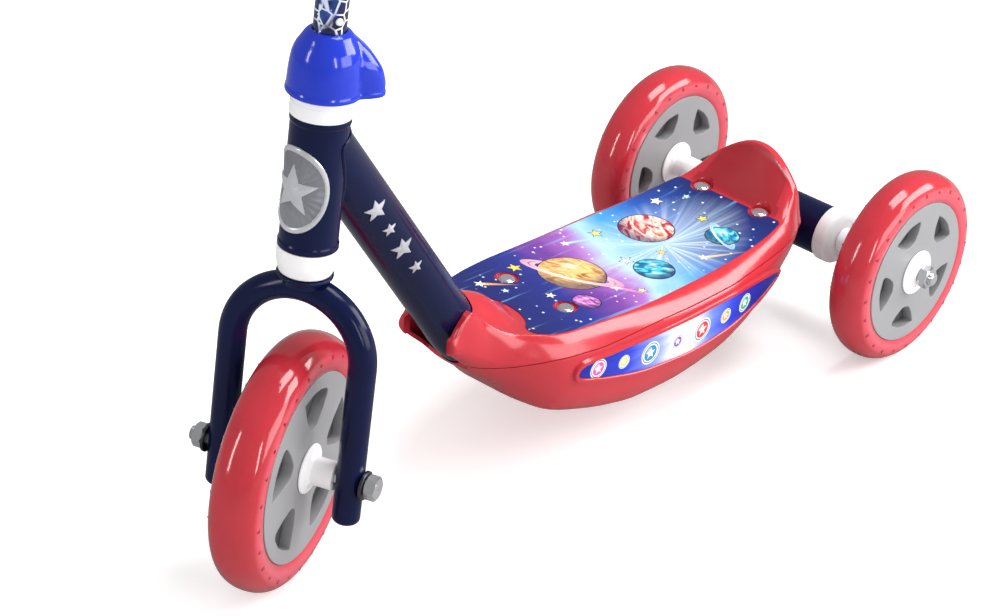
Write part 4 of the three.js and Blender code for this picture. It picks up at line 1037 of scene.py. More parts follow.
# The deck is two red plastic shells that clip together round the main tube. The upper shell
# carries the footboard and the raised tail, the lower shell the two raised side trims.
deck_frame = Matrix.Translation((0, rear_axle_y, 0))
deck_front = 344 * mm
deck_back = 33 * mm
deck_half = 60.5 * mm
deck_height = 97 * mm
deck_clearance = 26.465 * mm
deck_wall = 2.8 * mm
deck_edge = 4.5 * mm
tail_height = 29 * mm
tail_foot = 51 * mm
tail_back = 8 * mm
tail_spread = 86 * mm
tail_rim_share = 0.84
tail_softness = 0.006
dish_depth = 1.1 * mm
dish_lean = (0.88, -0.47)
rim_width = 4.6 * mm
seam_gap = 0.6 * mm
nose_front = 337 * mm
nose_edge = 3.2 * mm
tail_begins = -62 * mm
shoulder_power = 1.3
# Each row: the place along the deck, then shares of its half width for the nose ridge, the top's
# edge, the widest line and the bottom, and shares of its height for the crown, edge, widest, floor.
deck_sections = [
    (0.000, 0.150, 0.320, 0.360, 0.160, 0.840, 0.830, 0.815, 0.800),
    (0.022, 0.150, 0.325, 0.370, 0.160, 0.930, 0.910, 0.845, 0.775),
    (0.035, 0.150, 0.325, 0.380, 0.160, 1.005, 0.970, 0.830, 0.735),
    (0.062, 0.160, 0.325, 0.410, 0.150, 1.065, 1.030, 0.770, 0.657),
    (0.090, 0.280, 0.335, 0.450, 0.160, 1.070, 0.965, 0.710, 0.559),
    (0.116, 0.380, 0.410, 0.510, 0.170, 1.030, 0.880, 0.660, 0.484),
    (0.158, 0.450, 0.505, 0.650, 0.180, 0.960, 0.810, 0.630, 0.378),
    (0.197, 0.360, 0.620, 0.775, 0.225, 0.865, 0.785, 0.628, 0.254),
    (0.240, 0.060, 0.705, 0.862, 0.448, 0.766, 0.766, 0.622, 0.178),
    (0.290, 0.300, 0.750, 0.905, 0.590, 0.750, 0.750, 0.608, 0.138),
    (0.370, 0.300, 0.783, 0.942, 0.660, 0.724, 0.724, 0.588, 0.068),
    (0.463, 0.300, 0.797, 0.980, 0.710, 0.690, 0.690, 0.566, 0.018),
    (0.575, 0.300, 0.787, 1.000, 0.740, 0.660, 0.660, 0.545, 0.008),
    (0.688, 0.300, 0.775, 0.990, 0.740, 0.640, 0.640, 0.530, 0.035),
    (0.785, 0.300, 0.753, 0.945, 0.710, 0.632, 0.632, 0.522, 0.100),
    (0.865, 0.300, 0.722, 0.890, 0.660, 0.637, 0.637, 0.526, 0.220),
    (0.930, 0.300, 0.670, 0.825, 0.610, 0.655, 0.655, 0.540, 0.365),
    (0.970, 0.280, 0.605, 0.750, 0.550, 0.665, 0.665, 0.552, 0.440),
    (1.000, 0.250, 0.520, 0.670, 0.455, 0.665, 0.665, 0.562, 0.480),
]
seam_shares = [
    (0, 0.66), (0.05, 0.655), (0.07, 0.648), (0.092, 0.633), (0.129, 0.626), (0.168, 0.634), (0.208, 0.641),
    (0.251, 0.637), (0.33, 0.613), (0.46, 0.602), (0.6, 0.574), (0.75, 0.553), (0.87, 0.55), (1, 0.56),
]


def smooth_curve(points):
    """A function through points whose curve never overshoots them."""
    xs = [p[0] for p in points]
    ys = [p[1] for p in points]
    steps = [xs[i + 1] - xs[i] for i in range(len(xs) - 1)]
    slopes = [(ys[i + 1] - ys[i]) / steps[i] for i in range(len(steps))]
    tangents = [slopes[0]]
    for i in range(1, len(slopes)):
        a, b = slopes[i - 1], slopes[i]
        if a * b <= 0:
            tangents.append(0.0)
        else:
            w1, w2 = 2 * steps[i] + steps[i - 1], steps[i] + 2 * steps[i - 1]
            tangents.append((w1 + w2) / (w1 / a + w2 / b))
    tangents.append(slopes[-1])

    def value(x):
        """The curve's height at a place."""
        x = min(max(x, xs[0]), xs[-1])
        i = 0
        while i < len(steps) - 1 and xs[i + 1] < x:
            i += 1
        h = steps[i]
        t = (x - xs[i]) / h
        return ((1 + 2 * t) * (1 - t) ** 2 * ys[i] + t * (1 - t) ** 2 * h * tangents[i]
                + t * t * (3 - 2 * t) * ys[i + 1] + t * t * (t - 1) * h * tangents[i + 1])
    return value


deck_curves = [smooth_curve([(row[0], row[k]) for row in deck_sections]) for k in range(1, 9)]
seam_curve = smooth_curve(seam_shares)


def along_deck(y):
    """A place as a share of the deck's length, from the nose."""
    return (y + deck_front) / (deck_front - deck_back)


def up_deck(share):
    """A share of the deck's height as a height above the ground."""
    return deck_clearance + deck_height * share


def deck_section(y, inset=0.0):
    """Half widths of ridge, top, widest line and base, and heights of crown, edge, widest and floor."""
    values = [curve(along_deck(y)) for curve in deck_curves]
    ridge, top, widest, base = [v * deck_half for v in values[:4]]
    crown, edge, widest_z, floor_z = [up_deck(v) for v in values[4:]]
    return [ridge, top - inset / 2, widest - inset, base - inset / 2,
            crown - inset, edge - inset, widest_z, floor_z + inset]


def smooth_step(t):
    """0 below 0, 1 above 1, and an even curve between them."""
    t = min(max(t, 0.0), 1.0)
    return t * t * (3 - 2 * t)


def keel_power(y):
    """How full the lower side is at a place: round, but for a keel just behind the nose."""
    keel = smooth_step((0.25 - along_deck(y)) / 0.13) * smooth_step((along_deck(y) - 0.05) / 0.05)
    return 0.78 + 0.38 * keel


def deck_outline(y, inset):
    """The right half of one section from the top's middle to the bottom's: 2D points (x, z)."""
    ridge, top, widest, base, crown, edge, widest_z, floor_z = deck_section(y, inset)
    power = keel_power(y)
    ridge = min(ridge, top * 0.98)
    half = [(ridge * i / 8, edge + (crown - edge) * smooth_step(1 - i / 8)) for i in range(9)]
    half += [(ridge + (top - ridge) * i / 7, edge) for i in range(1, 8)]
    for i in range(1, 15):
        angle = math.pi / 2 * i / 14
        half.append((top + (widest - top) * math.sin(angle) ** (2 / shoulder_power),
                     widest_z + (edge - widest_z) * max(math.cos(angle), 0) ** (2 / shoulder_power)))
    for i in range(1, 17):
        angle = math.pi / 2 * i / 16
        half.append((base + (widest - base) * max(math.cos(angle), 0) ** power,
                     widest_z - (widest_z - floor_z) * math.sin(angle) ** power))
    half += [(base * (1 - i / 5), floor_z) for i in range(1, 6)]
    return half


def tail_lift(x, y, z, inset=0.0):
    """How far the tail raises a point of the deck's upper side, and how far it moves it back."""
    t = (y + tail_foot) / (tail_foot - deck_back) / tail_rim_share
    rise = 0.5 * (t + math.sqrt(t * t + tail_softness)) - 0.0015
    if rise < tail_softness or abs(x) >= tail_spread / 2:
        return 0.0, 0.0
    section = deck_section(y, inset)
    weight = smooth_step((z - section[6]) / (section[5] - section[6]) * 1.15)
    share = math.cos(math.pi * x / tail_spread) * min(rise, 1.0) * weight
    return tail_height * share, tail_back * share


def tail_dish(x, y):
    """How far a point is inside the tail's dished inner face: 1 within it, 0 on the rolled rim."""
    side = smooth_step((deck_section(y)[1] - rim_width - abs(x)) / (2.6 * mm))
    foot = smooth_step((y + tail_foot + 2.8 * mm) / (1.6 * mm))
    back = smooth_step((-deck_back - 2.4 * mm - y) / (2 * mm))
    return side * foot * back


def deck_places(inset):
    """The places of the deck's sections: even along the deck, closer together at the tail."""
    begin, end = -nose_front + inset, -deck_back - inset
    places = [begin + i * (tail_begins - begin) / 104 for i in range(105)]
    return places + [tail_begins + i * (end - tail_begins) / 40 for i in range(1, 41)]


def deck_rings(inset):
    """Rings of 3D points from the nose's rounded front to the tail's rounded back."""
    lifted = []
    for y in deck_places(inset):
        moved = []
        for i, (x, z) in enumerate(deck_outline(y, inset)):
            up, back = tail_lift(x, y, z, inset)
            dish = tail_dish(x, y) * dish_depth if i < 16 and not inset else 0
            moved.append(Vector((x, y + back + dish * dish_lean[0], z + up + dish * dish_lean[1])))
        lifted.append(moved)
    front = rounded_end(lifted[0], -1, nose_edge - inset)
    rear = rounded_end(lifted[-1], 1, deck_edge - inset)
    return list(reversed(front)) + lifted + rear


def rounded_end(ring, way, radius):
    """Rings that turn the edge of an end section inwards along a quarter circle."""
    steps = 7
    half_width = max(point.x for point in ring)
    high, low = max(point.z for point in ring), min(point.z for point in ring)
    middle, half_height = (high + low) / 2, (high - low) / 2
    rings = []
    for k in range(1, steps + 1):
        angle = math.pi / 2 * k / steps
        shrink = radius * (1 - math.cos(angle))
        ahead = way * radius * math.sin(angle)
        narrow, flat = 1 - shrink / half_width, 1 - shrink / half_height
        rings.append([Vector((p.x * narrow, p.y + ahead, middle + (p.z - middle) * flat)) for p in ring])
    edge = rings[-1]
    centre = Vector((0, (edge[0].y + edge[-1].y) / 2, middle))
    for share in (0.8, 0.6, 0.4, 0.2):
        rings.append([centre + (p - centre) * share for p in edge])
    return rings


end_rings = len(rounded_end([Vector((0, 0, 1)), Vector((1, 0, 0))], 1, 1))


def deck_body(inset=0.0):
    """The outside of the deck as one closed mesh, or the room inside it."""
    verts = []
    rings = deck_rings(inset)
    around = 2 * len(rings[0]) - 2
    for ring in rings:
        verts += ring
        verts += [Vector((-p.x, p.y, p.z)) for p in reversed(ring[1:-1])]
    faces = ring_faces(len(rings), around)
    last = (len(rings) - 1) * around
    for start in (0, last):
        hub = len(verts)
        verts.append((verts[start] + verts[start + around // 2]) / 2)
        for i in range(around):
            here, there = start + i, start + (i + 1) % around
            faces.append((here, hub, there) if start else (there, hub, here))
    return verts, faces


def dished_faces(faces):
    """1 for each face of the tail's dished inner side, which gets the darker red of painted shade, 0 for the
    rest of the deck's outside.
    """
    inside = set()
    for k, y in enumerate(deck_places(0)):
        outline = deck_outline(y, 0)
        around = 2 * len(outline) - 2
        start = (end_rings + k) * around
        for i in range(16):
            if tail_dish(outline[i][0], y) > 0.5:
                inside.update((start + i, start + (around - i) % around))
    return [int(all(v in inside for v in face)) for face in faces]


def seam_slab(above):
    """All the room above or below the seam, as a closed body."""
    steps = 110
    wide = 90 * mm
    far = 200 * mm if above else -100 * mm
    shift = seam_gap / 2 if above else -seam_gap / 2
    outline = []
    for i in range(steps + 1):
        y = -deck_front - 20 * mm + (deck_front + 50 * mm) * i / steps
        outline.append((y, up_deck(seam_curve(along_deck(y))) + shift))
    outline += [(outline[-1][0], far), (outline[0][0], far)]
    if not above:
        outline.reverse()
    count = len(outline)
    verts = [(x, y, z) for x in (-wide, wide) for y, z in outline]
    faces = [(i, count + i, count + (i + 1) % count, (i + 1) % count) for i in range(count)]
    faces += [tuple(range(count)), tuple(reversed(range(count, 2 * count)))]
    faces = [tuple(reversed(face)) for face in faces]
    return verts, faces


def tube_way(radius):
    """The room that the main tube takes, as a closed bar in the deck's frame."""
    sides = 48
    side = Vector((1, 0, 0))
    rings = [ring_points(tube_top, side, tube_down.cross(side).normalized(), radius, sides)]
    rings += bend_rings(radius, sides, 24)
    rings.append(ring_points(tube_end, side, tube_back.cross(side).normalized(), radius, sides))
    verts = [deck_frame.inverted() @ p for ring in rings for p in ring]
    last = (len(rings) - 1) * sides
    faces = ring_faces(len(rings), sides)
    return verts, faces + [tuple(reversed(range(sides))), tuple(range(last, last + sides))]


def box_body(x0, x1, y0, y1, z0, z1):
    """A closed box between six planes."""
    verts = [(x, y, z) for z in (z0, z1) for x, y in ((x0, y0), (x1, y0), (x1, y1), (x0, y1))]
    faces = [(3, 2, 1, 0), (4, 5, 6, 7)] + [(i, (i + 1) % 4, (i + 1) % 4 + 4, i + 4) for i in range(4)]
    return verts, faces


def rod_body(radius, z0, z1, x, y, sides=48):
    """A closed upright rod."""
    verts = [(px, py, z) for z in (z0, z1) for px, py in circle(radius, sides, x, y)]
    faces = ring_faces(2, sides) + [tuple(reversed(range(sides))), tuple(range(sides, 2 * sides))]
    return verts, faces


screw_places = [(x * mm, y * mm) for y in (-242, -53) for x in (-23, 23)]
dimple_radius = 7.2 * mm
dimple_depth = 1.4 * mm
post_wall = 2.4 * mm
post_length = 7 * mm
way_radius = 16.6 * mm
deck_red = finish_material(
    "deck_red", linear(194, 44, 56), 0.2, 380, 0.05, mottle=0.03, scuffs=0.05,
    **waxy(0.12, 0.004, 0.001), **coated(0.35, 0.08))
# The tail's dished inner face is a darker, rougher red: painted shade where less light falls on it.
deck_red_painted_shade = finish_material(
    "deck_red_painted_shade", linear(166, 30, 42), 0.34, 380, 0.05, mottle=0.03, **waxy(0.1, 0.004, 0.001))
slot_back = -318 * mm
slot_top = 123.5 * mm
slot_cutter = box_body(-way_radius, way_radius, -deck_front - 12 * mm, slot_back, deck_clearance, slot_top)


def top_height(x, y):
    """The height of the deck's top at a place, before the tail is raised."""
    ridge, top, widest, _, crown, edge, widest_z, _ = deck_section(y)
    x = abs(x)
    if x < ridge:
        return edge + (crown - edge) * smooth_step(1 - x / ridge)
    if x <= top:
        return edge
    share = min((x - top) / (widest - top), 1.0)
    return widest_z + (edge - widest_z) * (1 - share ** shoulder_power) ** (1 / shoulder_power)


posts, dimples = [], []
for x, y in screw_places:
    surface = top_height(x, y)
    posts.append(rod_body(dimple_radius + post_wall, surface - post_length, surface + 40 * mm, x, y))
    dimples.append(rod_body(dimple_radius, surface - dimple_depth, surface + 20 * mm, x, y))
posted_mesh = cut_mesh(*deck_body(deck_wall), posts)
posted_room = ([v.co.copy() for v in posted_mesh.vertices], [tuple(p.vertices) for p in posted_mesh.polygons])
tube_room = [tube_way(way_radius), slot_cutter]
deck_outside = deck_body()
deck_top_mesh = cut_mesh(*deck_outside, [posted_room] + tube_room + dimples, seam_slab(True),
                         [deck_red, deck_red_painted_shade], dished_faces(deck_outside[1]))
dress_mesh("deck_top_moulded", deck_top_mesh, deck_frame, "frame", ["deck_top"],
           [deck_red, deck_red_painted_shade], 32)
hull_mesh = cut_mesh(*deck_outside, [deck_body(deck_wall)] + tube_room, seam_slab(False))

# The side trims stand up from the lower shell as two long drops. Each is moulded with the shell and
# holds a printed sheet, stuck inside its rim.
trim_front = -268 * mm
trim_length = 190 * mm
trim_base = 44.31 * mm
trim_height = 41.516 * mm
trim_proud = 2.1 * mm
trim_upper = [(0.022, 0.75), (0.038, 0.83), (0.087, 0.85), (0.15, 0.838), (0.275, 0.82), (0.41, 0.793),
              (0.55, 0.764), (0.71, 0.731), (0.8, 0.7), (0.89, 0.655), (0.97, 0.605), (1.03, 0.55)]
trim_lower = [(1.04, 0.48), (1.0, 0.41), (0.914, 0.301), (0.822, 0.24), (0.737, 0.203), (0.577, 0.19),
              (0.426, 0.25), (0.29, 0.33), (0.16, 0.48), (0.095, 0.573), (0.035, 0.67)]


def side_surface(y, z):
    """A point of the deck's left side at a place along and up it, and the way it faces."""
    def half_width(y, z):
        """The deck's half width at a place and height."""
        _, top, widest, base, _, edge, widest_z, floor_z = deck_section(y)
        if z >= widest_z:
            rise = min((z - widest_z) / (edge - widest_z), 1.0)
            return top + (widest - top) * (1 - rise ** shoulder_power) ** (1 / shoulder_power)
        power = keel_power(y)
        sine = min((widest_z - z) / (widest_z - floor_z), 1.0) ** (1 / power)
        return base + (widest - base) * math.sqrt(max(1 - sine * sine, 0)) ** power
    step = 0.5 * mm
    x = half_width(y, z)
    slope_y = (half_width(y + step, z) - half_width(y - step, z)) / (2 * step)
    slope_z = (half_width(y, z + step) - half_width(y, z - step)) / (2 * step)
    return Vector((x, y, z)), Vector((1, -slope_y, -slope_z)).normalized()


def closed_spline(points, steps):
    """A smooth closed line through points, evenly spaced."""
    count = len(points)
    line = []
    for i in range(count):
        p0, p1, p2, p3 = (Vector(points[(i + k) % count]) for k in (-1, 0, 1, 2))
        for s in range(12):
            t = s / 12
            line.append(0.5 * (2 * p1 + (p2 - p0) * t + (2 * p0 - 5 * p1 + 4 * p2 - p3) * t * t
                               + (3 * p1 - p0 - 3 * p2 + p3) * t * t * t))
    return resampled([Vector((p.x, p.y, 0)) for p in line], steps)


trim_line = closed_spline(
    [(trim_front + trim_length * a, trim_base + trim_height * r) for a, r in trim_upper + trim_lower], 180)


def inset_line(line, distance):
    """A closed line moved inwards, its sharp ends kept smooth."""
    count = len(line)
    area = sum(a.x * b.y - b.x * a.y for a, b in zip(line, line[1:] + line[:1]))
    turn = 1 if area > 0 else -1
    moved = []
    for i in range(count):
        step = (line[(i + 2) % count] - line[i - 2]).normalized()
        moved.append(line[i] + Vector((-step.y, step.x, 0)) * distance * turn)
    return moved


def trim_sheet(loops, side, fill_height):
    """Loops (inset, proud) round the trim on the deck's side, the last one filled in."""
    verts, faces = [], []
    count = len(trim_line)
    for inset, proud in loops:
        for p in inset_line(trim_line, inset):
            place, facing = side_surface(p.x, p.y)
            spot = place + facing * proud
            verts.append(Vector((spot.x * side, spot.y, spot.z)))
    faces = ring_faces(len(loops), count)
    last = (len(loops) - 1) * count
    inner = inset_line(trim_line, loops[-1][0])
    half = count // 2
    start = min(range(count), key=lambda i: inner[i].x)
    rows = 8
    strips = []
    for k in range(half + 1):
        a, b = inner[(start + k) % count], inner[(start - k) % count]
        row = [last + (start + k) % count]
        for s in range(1, rows):
            p = a.lerp(b, s / rows)
            place, facing = side_surface(p.x, p.y)
            spot = place + facing * fill_height
            row.append(len(verts))
            verts.append(Vector((spot.x * side, spot.y, spot.z)))
        row.append(last + (start - k) % count)
        strips.append(row)
    for k in range(half):
        for s in range(rows):
            face = [strips[k][s], strips[k + 1][s], strips[k + 1][s + 1], strips[k][s + 1]]
            face = tuple(dict.fromkeys(face))
            if len(face) > 2:
                faces.append(face)
    if side > 0:
        faces = [tuple(reversed(face)) for face in faces]
    return verts, faces


boss_loops = [(-4.4 * mm, -1.2 * mm), (-3.5 * mm, 1.0 * mm), (-3.3 * mm, 1.5 * mm), (-2.9 * mm, trim_proud),
              (-0.8 * mm, trim_proud), (-0.4 * mm, 1.7 * mm), (-0.2 * mm, 0.9 * mm)]
parts = [(hull_mesh, Matrix(), 0)]
for side in (1, -1):
    parts.append((trim_sheet(boss_loops, side, 0.9 * mm), Matrix(), 0))
hull_joined = joined_mesh("deck_hull_moulded", parts)
dress_mesh("deck_hull_moulded", hull_joined, deck_frame, "frame", ["deck_hull"],
           [deck_red], 32)


def blend(mask, below, above):
    """One ink laid over what is below it. The ink is (red, green, blue) or a socket."""
    ink = linear(*above) if isinstance(above, tuple) else above
    return new_node(mask.id_data, "ShaderNodeMix", data_type="RGBA", inputs={
        0: mask, 6: below, 7: ink}).outputs[2]


def fade(value, start, end, low=0.0, high=1.0):
    """A value that runs smoothly from low to high between two places."""
    return new_node(value.id_data, "ShaderNodeMapRange", interpolation_type="SMOOTHSTEP", inputs={
        "Value": value, "From Min": start, "From Max": end, "To Min": low, "To Max": high}).outputs[0]


def noise(vector, scale, detail=3.0, distortion=0.0):
    """Clouds of values at a place."""
    return new_node(vector.id_data, "ShaderNodeTexNoise", inputs={
        "Vector": vector, "Scale": scale, "Detail": detail, "Distortion": distortion}).outputs["Fac"]


def mark_group(name, star):
    """A node group that gives the mask of a round or star-shaped mark and the place within it."""
    group = new_group(name, ("X", "Y", "Centre X", "Centre Y", "Radius", "Stretch", "Turn", "Edge"),
                      ("Mask", "Across", "Up", "Out"))
    given = new_node(group, "NodeGroupInput").outputs
    dx = calc("SUBTRACT", given["X"], given["Centre X"])
    dy = calc("SUBTRACT", given["Y"], given["Centre Y"])
    c, s = calc("COSINE", given["Turn"]), calc("SINE", given["Turn"])
    u = calc("ADD", calc("MULTIPLY", dx, c), calc("MULTIPLY", dy, s))
    u = calc("DIVIDE", u, given["Radius"])
    v = calc("SUBTRACT", calc("MULTIPLY", dy, c), calc("MULTIPLY", dx, s))
    v = calc("DIVIDE", calc("DIVIDE", v, given["Radius"]), given["Stretch"])
    out = calc("SQRT", calc("ADD", calc("MULTIPLY", u, u), calc("MULTIPLY", v, v)))
    if star:
        half_point = math.pi / 5
        edge = Vector((0.42 * math.cos(half_point), 0.42 * math.sin(half_point))) - Vector((1, 0))
        normal = Vector((edge.y, -edge.x)).normalized()
        sector = calc("PINGPONG", calc("ADD", calc("ARCTAN2", v, u), math.tau), half_point)
        slant = calc("COSINE", calc("SUBTRACT", sector, math.atan2(normal.y, normal.x)))
        out = calc("DIVIDE", calc("MULTIPLY", out, slant), normal.x)
    soft = calc("DIVIDE", given["Edge"], given["Radius"])
    mask = calc("DIVIDE", calc("SUBTRACT", 1.0, out), soft, clamp=True)
    new_node(group, "NodeGroupOutput", inputs={"Mask": mask, "Across": u, "Up": v, "Out": out})
    return group


round_mark = mark_group("round_mark", False)
star_mark = mark_group("star_mark", True)


def mark_at(mark, x, y, cx, cy, radius, stretch=1.0, turn=0.0, edge=0.25):
    """The outputs of a mark in a print, its sizes in millimetres."""
    return new_node(x.id_data, "ShaderNodeGroup", node_tree=mark, inputs={
        "X": x, "Y": y, "Centre X": cx * mm, "Centre Y": cy * mm, "Radius": radius * mm,
        "Stretch": stretch, "Turn": turn, "Edge": edge * mm}).outputs


def picture_group(name):
    """A node group for a printed picture, and the place on the piece that it is drawn by."""
    group = new_group(name, (), ("Colour",))
    return group, new_node(group, "ShaderNodeTexCoord").outputs["Object"]


def printed(name, picture, roughness, grain_scale, **shader):
    """A finish with a picture group as its colour."""
    return finish_material(
        name, lambda tree: new_node(tree, "ShaderNodeGroup", node_tree=picture).outputs[0],
        roughness, grain_scale, 0.02, mottle=0.02, scuffs=0.06, **shader)


def side_artwork():
    """The side strip's picture: blue ends, a white middle with streaks, and a row of star gems."""
    group, place = picture_group("side_artwork")
    parts = new_node(group, "ShaderNodeSeparateXYZ", inputs={0: place})
    y, z = parts.outputs["Y"], parts.outputs["Z"]
    streak = new_node(group, "ShaderNodeMapping", inputs={
        "Vector": place, "Scale": (1.0, 12.0, 150.0), "Rotation": (0.22, 0, 0)})
    shift = calc("MULTIPLY_ADD", noise(streak.outputs[0], 1.0, 3.0), 0.16, -0.08)
    share = calc("ADD", fade(y, trim_front, trim_front + trim_length), shift)
    colour = ramp(share, [
        (0.0, (24, 34, 150)), (0.14, (40, 62, 206)), (0.3, (140, 158, 238)),
        (0.42, (246, 246, 254)), (0.55, (232, 236, 252)), (0.7, (106, 132, 236)),
        (0.84, (40, 62, 206)), (1.0, (22, 30, 138))])
    upper, lower = smooth_curve(trim_upper), smooth_curve(sorted(trim_lower))
    gems = [
        (0.1, 5.4, (226, 84, 168)), (0.215, 3.8, (255, 206, 84)), (0.335, 6.4, (34, 138, 190)),
        (0.465, 4.2, (120, 70, 190)), (0.59, 6.6, (214, 48, 66)), (0.715, 4.2, (240, 150, 50)),
        (0.825, 5.2, (36, 170, 120))]
    for along, size, tint in gems:
        gy = (trim_front + trim_length * along) / mm
        gz = (trim_base + trim_height * (upper(along) + lower(along)) / 2) / mm
        for radius, ink in ((size * 1.22, (250, 250, 255)), (size * 1.1, (30, 34, 110)),
                            (size, (255, 255, 255)), (size * 0.86, tint)):
            disc = mark_at(round_mark, y, z, gy, gz, radius)
            colour = blend(disc["Mask"], colour, ink)
        shine = mark_at(round_mark, y, z, gy - size * 0.25, gz + size * 0.3, size * 0.5, 1.0, 0.0, size * 0.5)
        colour = blend(calc("MULTIPLY", shine["Mask"], 0.45), colour, (255, 255, 255))
        star = mark_at(star_mark, y, z, gy, gz, size * 0.66, 1.0, math.pi / 2)
        colour = blend(star["Mask"], colour, (255, 250, 232))
    new_node(group, "NodeGroupOutput", inputs={"Colour": colour})
    return group


low_gloss = {"Specular IOR Level": 0.3, **coated(0.12, 0.14)}
side_ink = printed("side_ink", side_artwork(), 0.3, 320, **low_gloss)
print_loops = [(-0.1 * mm, 0.95 * mm), (-0.1 * mm, 1.35 * mm), (0.1 * mm, 1.5 * mm)]
for side, word in ((1, "left"), (-1, "right")):
    verts, faces = trim_sheet(print_loops, side, 1.5 * mm)
    make_piece(f"side_print_{word}_sheet", verts, faces, deck_frame, "frame",
               [f"side_print_{word}"], [side_ink], sharp=50)

# The footboard's print is one sheet of film, printed with planets and stars and stuck to the upper
# shell. It is cut out round the four screws.
print_front = -284 * mm
print_back = -54 * mm
print_half = 43.5 * mm
print_thick = 0.45 * mm
print_glue = 0.04 * mm
print_nose = -308 * mm
print_nose_radius = 39 * mm
print_soft = 3 * mm
print_front_corner = 6 * mm
print_rear_corner = 2.5 * mm


def print_front_edge(x):
    """Where the sheet's front edge is: straight, and round where the nose ridge meets it."""
    round_nose = print_nose + math.sqrt(max(print_nose_radius ** 2 - x * x, 0))
    apart = abs(round_nose - print_front) / print_soft
    return max(round_nose, print_front) + print_soft / 2 * math.exp(-apart)


def corner_fall(x, corner):
    """How far a rounded corner takes the sheet's edge back at a place across it."""
    over = max(abs(x) - (print_half - corner), 0)
    return corner - math.sqrt(max(corner * corner - over * over, 0))


def print_sheet():
    """The sheet as a grid that follows the deck's top, with rounded corners."""
    columns, rows = 40, 84
    top_side, low_side = [], []
    for r in range(rows + 1):
        for c in range(columns + 1):
            u = -1 + 2 * c / columns
            x = u * print_half
            y0 = print_front_edge(x) + corner_fall(x, print_front_corner)
            y1 = print_back - corner_fall(x, print_rear_corner)
            y = y0 + (y1 - y0) * (r / rows)
            px = u * (deck_section(y)[1] + 0.2 * mm)
            up, back = tail_lift(px, y, top_height(px, y))
            foot = Vector((px, y + back, top_height(px, y) + up))
            top_side.append(foot + Vector((0, 0, print_thick)))
            low_side.append(foot + Vector((0, 0, print_glue)))
    wide = columns + 1
    offset = len(top_side)
    faces = []
    for r in range(rows):
        for c in range(columns):
            a, b = r * wide + c, (r + 1) * wide + c
            faces.append((a, a + 1, b + 1, b))
            faces.append((a + offset, b + offset, b + 1 + offset, a + 1 + offset))
    edge = list(range(wide)) + [r * wide + columns for r in range(1, rows + 1)]
    edge += [rows * wide + c for c in range(columns - 1, -1, -1)] + [r * wide for r in range(rows - 1, 0, -1)]
    for i, here in enumerate(edge):
        there = edge[(i + 1) % len(edge)]
        faces.append((here, here + offset, there + offset, there))
    return top_side + low_side, faces


def planet(x, y, below, cx, cy, radius, stops, tilt, bands, seed):
    """A banded globe with a dark outline, a lit side and a shaded side."""
    rim = mark_at(round_mark, x, y, cx, cy, radius + 0.7)
    below = blend(rim["Mask"], below, (24, 26, 62))
    globe = mark_at(round_mark, x, y, cx, cy, radius, turn=tilt)
    flow = new_node(x.id_data, "ShaderNodeCombineXYZ", inputs={
        "X": calc("MULTIPLY", globe["Across"], 0.45), "Y": globe["Up"], "Z": seed})
    swirl = noise(flow.outputs[0], bands, 3.0, 0.9)
    colour = ramp(swirl, stops)
    lit = calc("ADD", calc("MULTIPLY", globe["Across"], -0.35), calc("MULTIPLY", globe["Up"], 0.55))
    shade = fade(calc("SUBTRACT", globe["Out"], lit), 0.5, 1.35)
    colour = blend(calc("MULTIPLY", shade, 0.72), colour, (36, 28, 84))
    gleam = mark_at(round_mark, x, y, cx - radius * 0.36, cy + radius * 0.34, radius * 0.34, 0.7, 0.7,
                    radius * 0.3)
    colour = blend(calc("MULTIPLY", gleam["Mask"], 0.6), colour, (255, 250, 236))
    return blend(globe["Mask"], below, colour)


def planet_ring(x, y, below, cx, cy, radius, turn, front, colour):
    """A flat ring round a globe: only its nearer half lies over the globe."""
    ring = mark_at(round_mark, x, y, cx, cy, radius, 0.27, turn)
    band = calc("MULTIPLY", fade(ring["Out"], 0.7, 0.725), fade(ring["Out"], 1.0, 0.985))
    gap = fade(calc("ABSOLUTE", calc("SUBTRACT", ring["Out"], 0.83)), 0.012, 0.025, 0.25, 1.0)
    half = fade(ring["Up"], 0.02, -0.02) if front else fade(ring["Up"], -0.02, 0.02)
    mask = calc("MULTIPLY", calc("MULTIPLY", band, gap), half)
    tone = ramp(calc("MULTIPLY_ADD", ring["Across"], 0.5, 0.5), [
        (0.0, colour), (0.45, (255, 246, 226)), (1.0, colour)])
    return blend(mask, below, tone)


def comet(x, y, below, cx, cy, length, width, turn, colour):
    """A bright head with a tail that narrows and fades behind it."""
    tail = mark_at(round_mark, x, y, cx, cy, length, 1.0, turn, 1.0)
    behind = fade(tail["Across"], 0.0, 0.06)
    taper = calc("MULTIPLY", calc("SUBTRACT", 1.0, tail["Across"], clamp=True), width / length)
    inside = calc("SUBTRACT", taper, calc("ABSOLUTE", tail["Up"]))
    mask = calc("MULTIPLY", behind, fade(inside, 0.0, width / length * 0.5))
    mask = calc("MULTIPLY", mask, fade(tail["Across"], 1.0, 0.0, 0.0, 0.9))
    below = blend(mask, below, colour)
    head = mark_at(star_mark, x, y, cx, cy, width * 1.9, 1.0, turn)
    return blend(head["Mask"], below, (255, 252, 236))


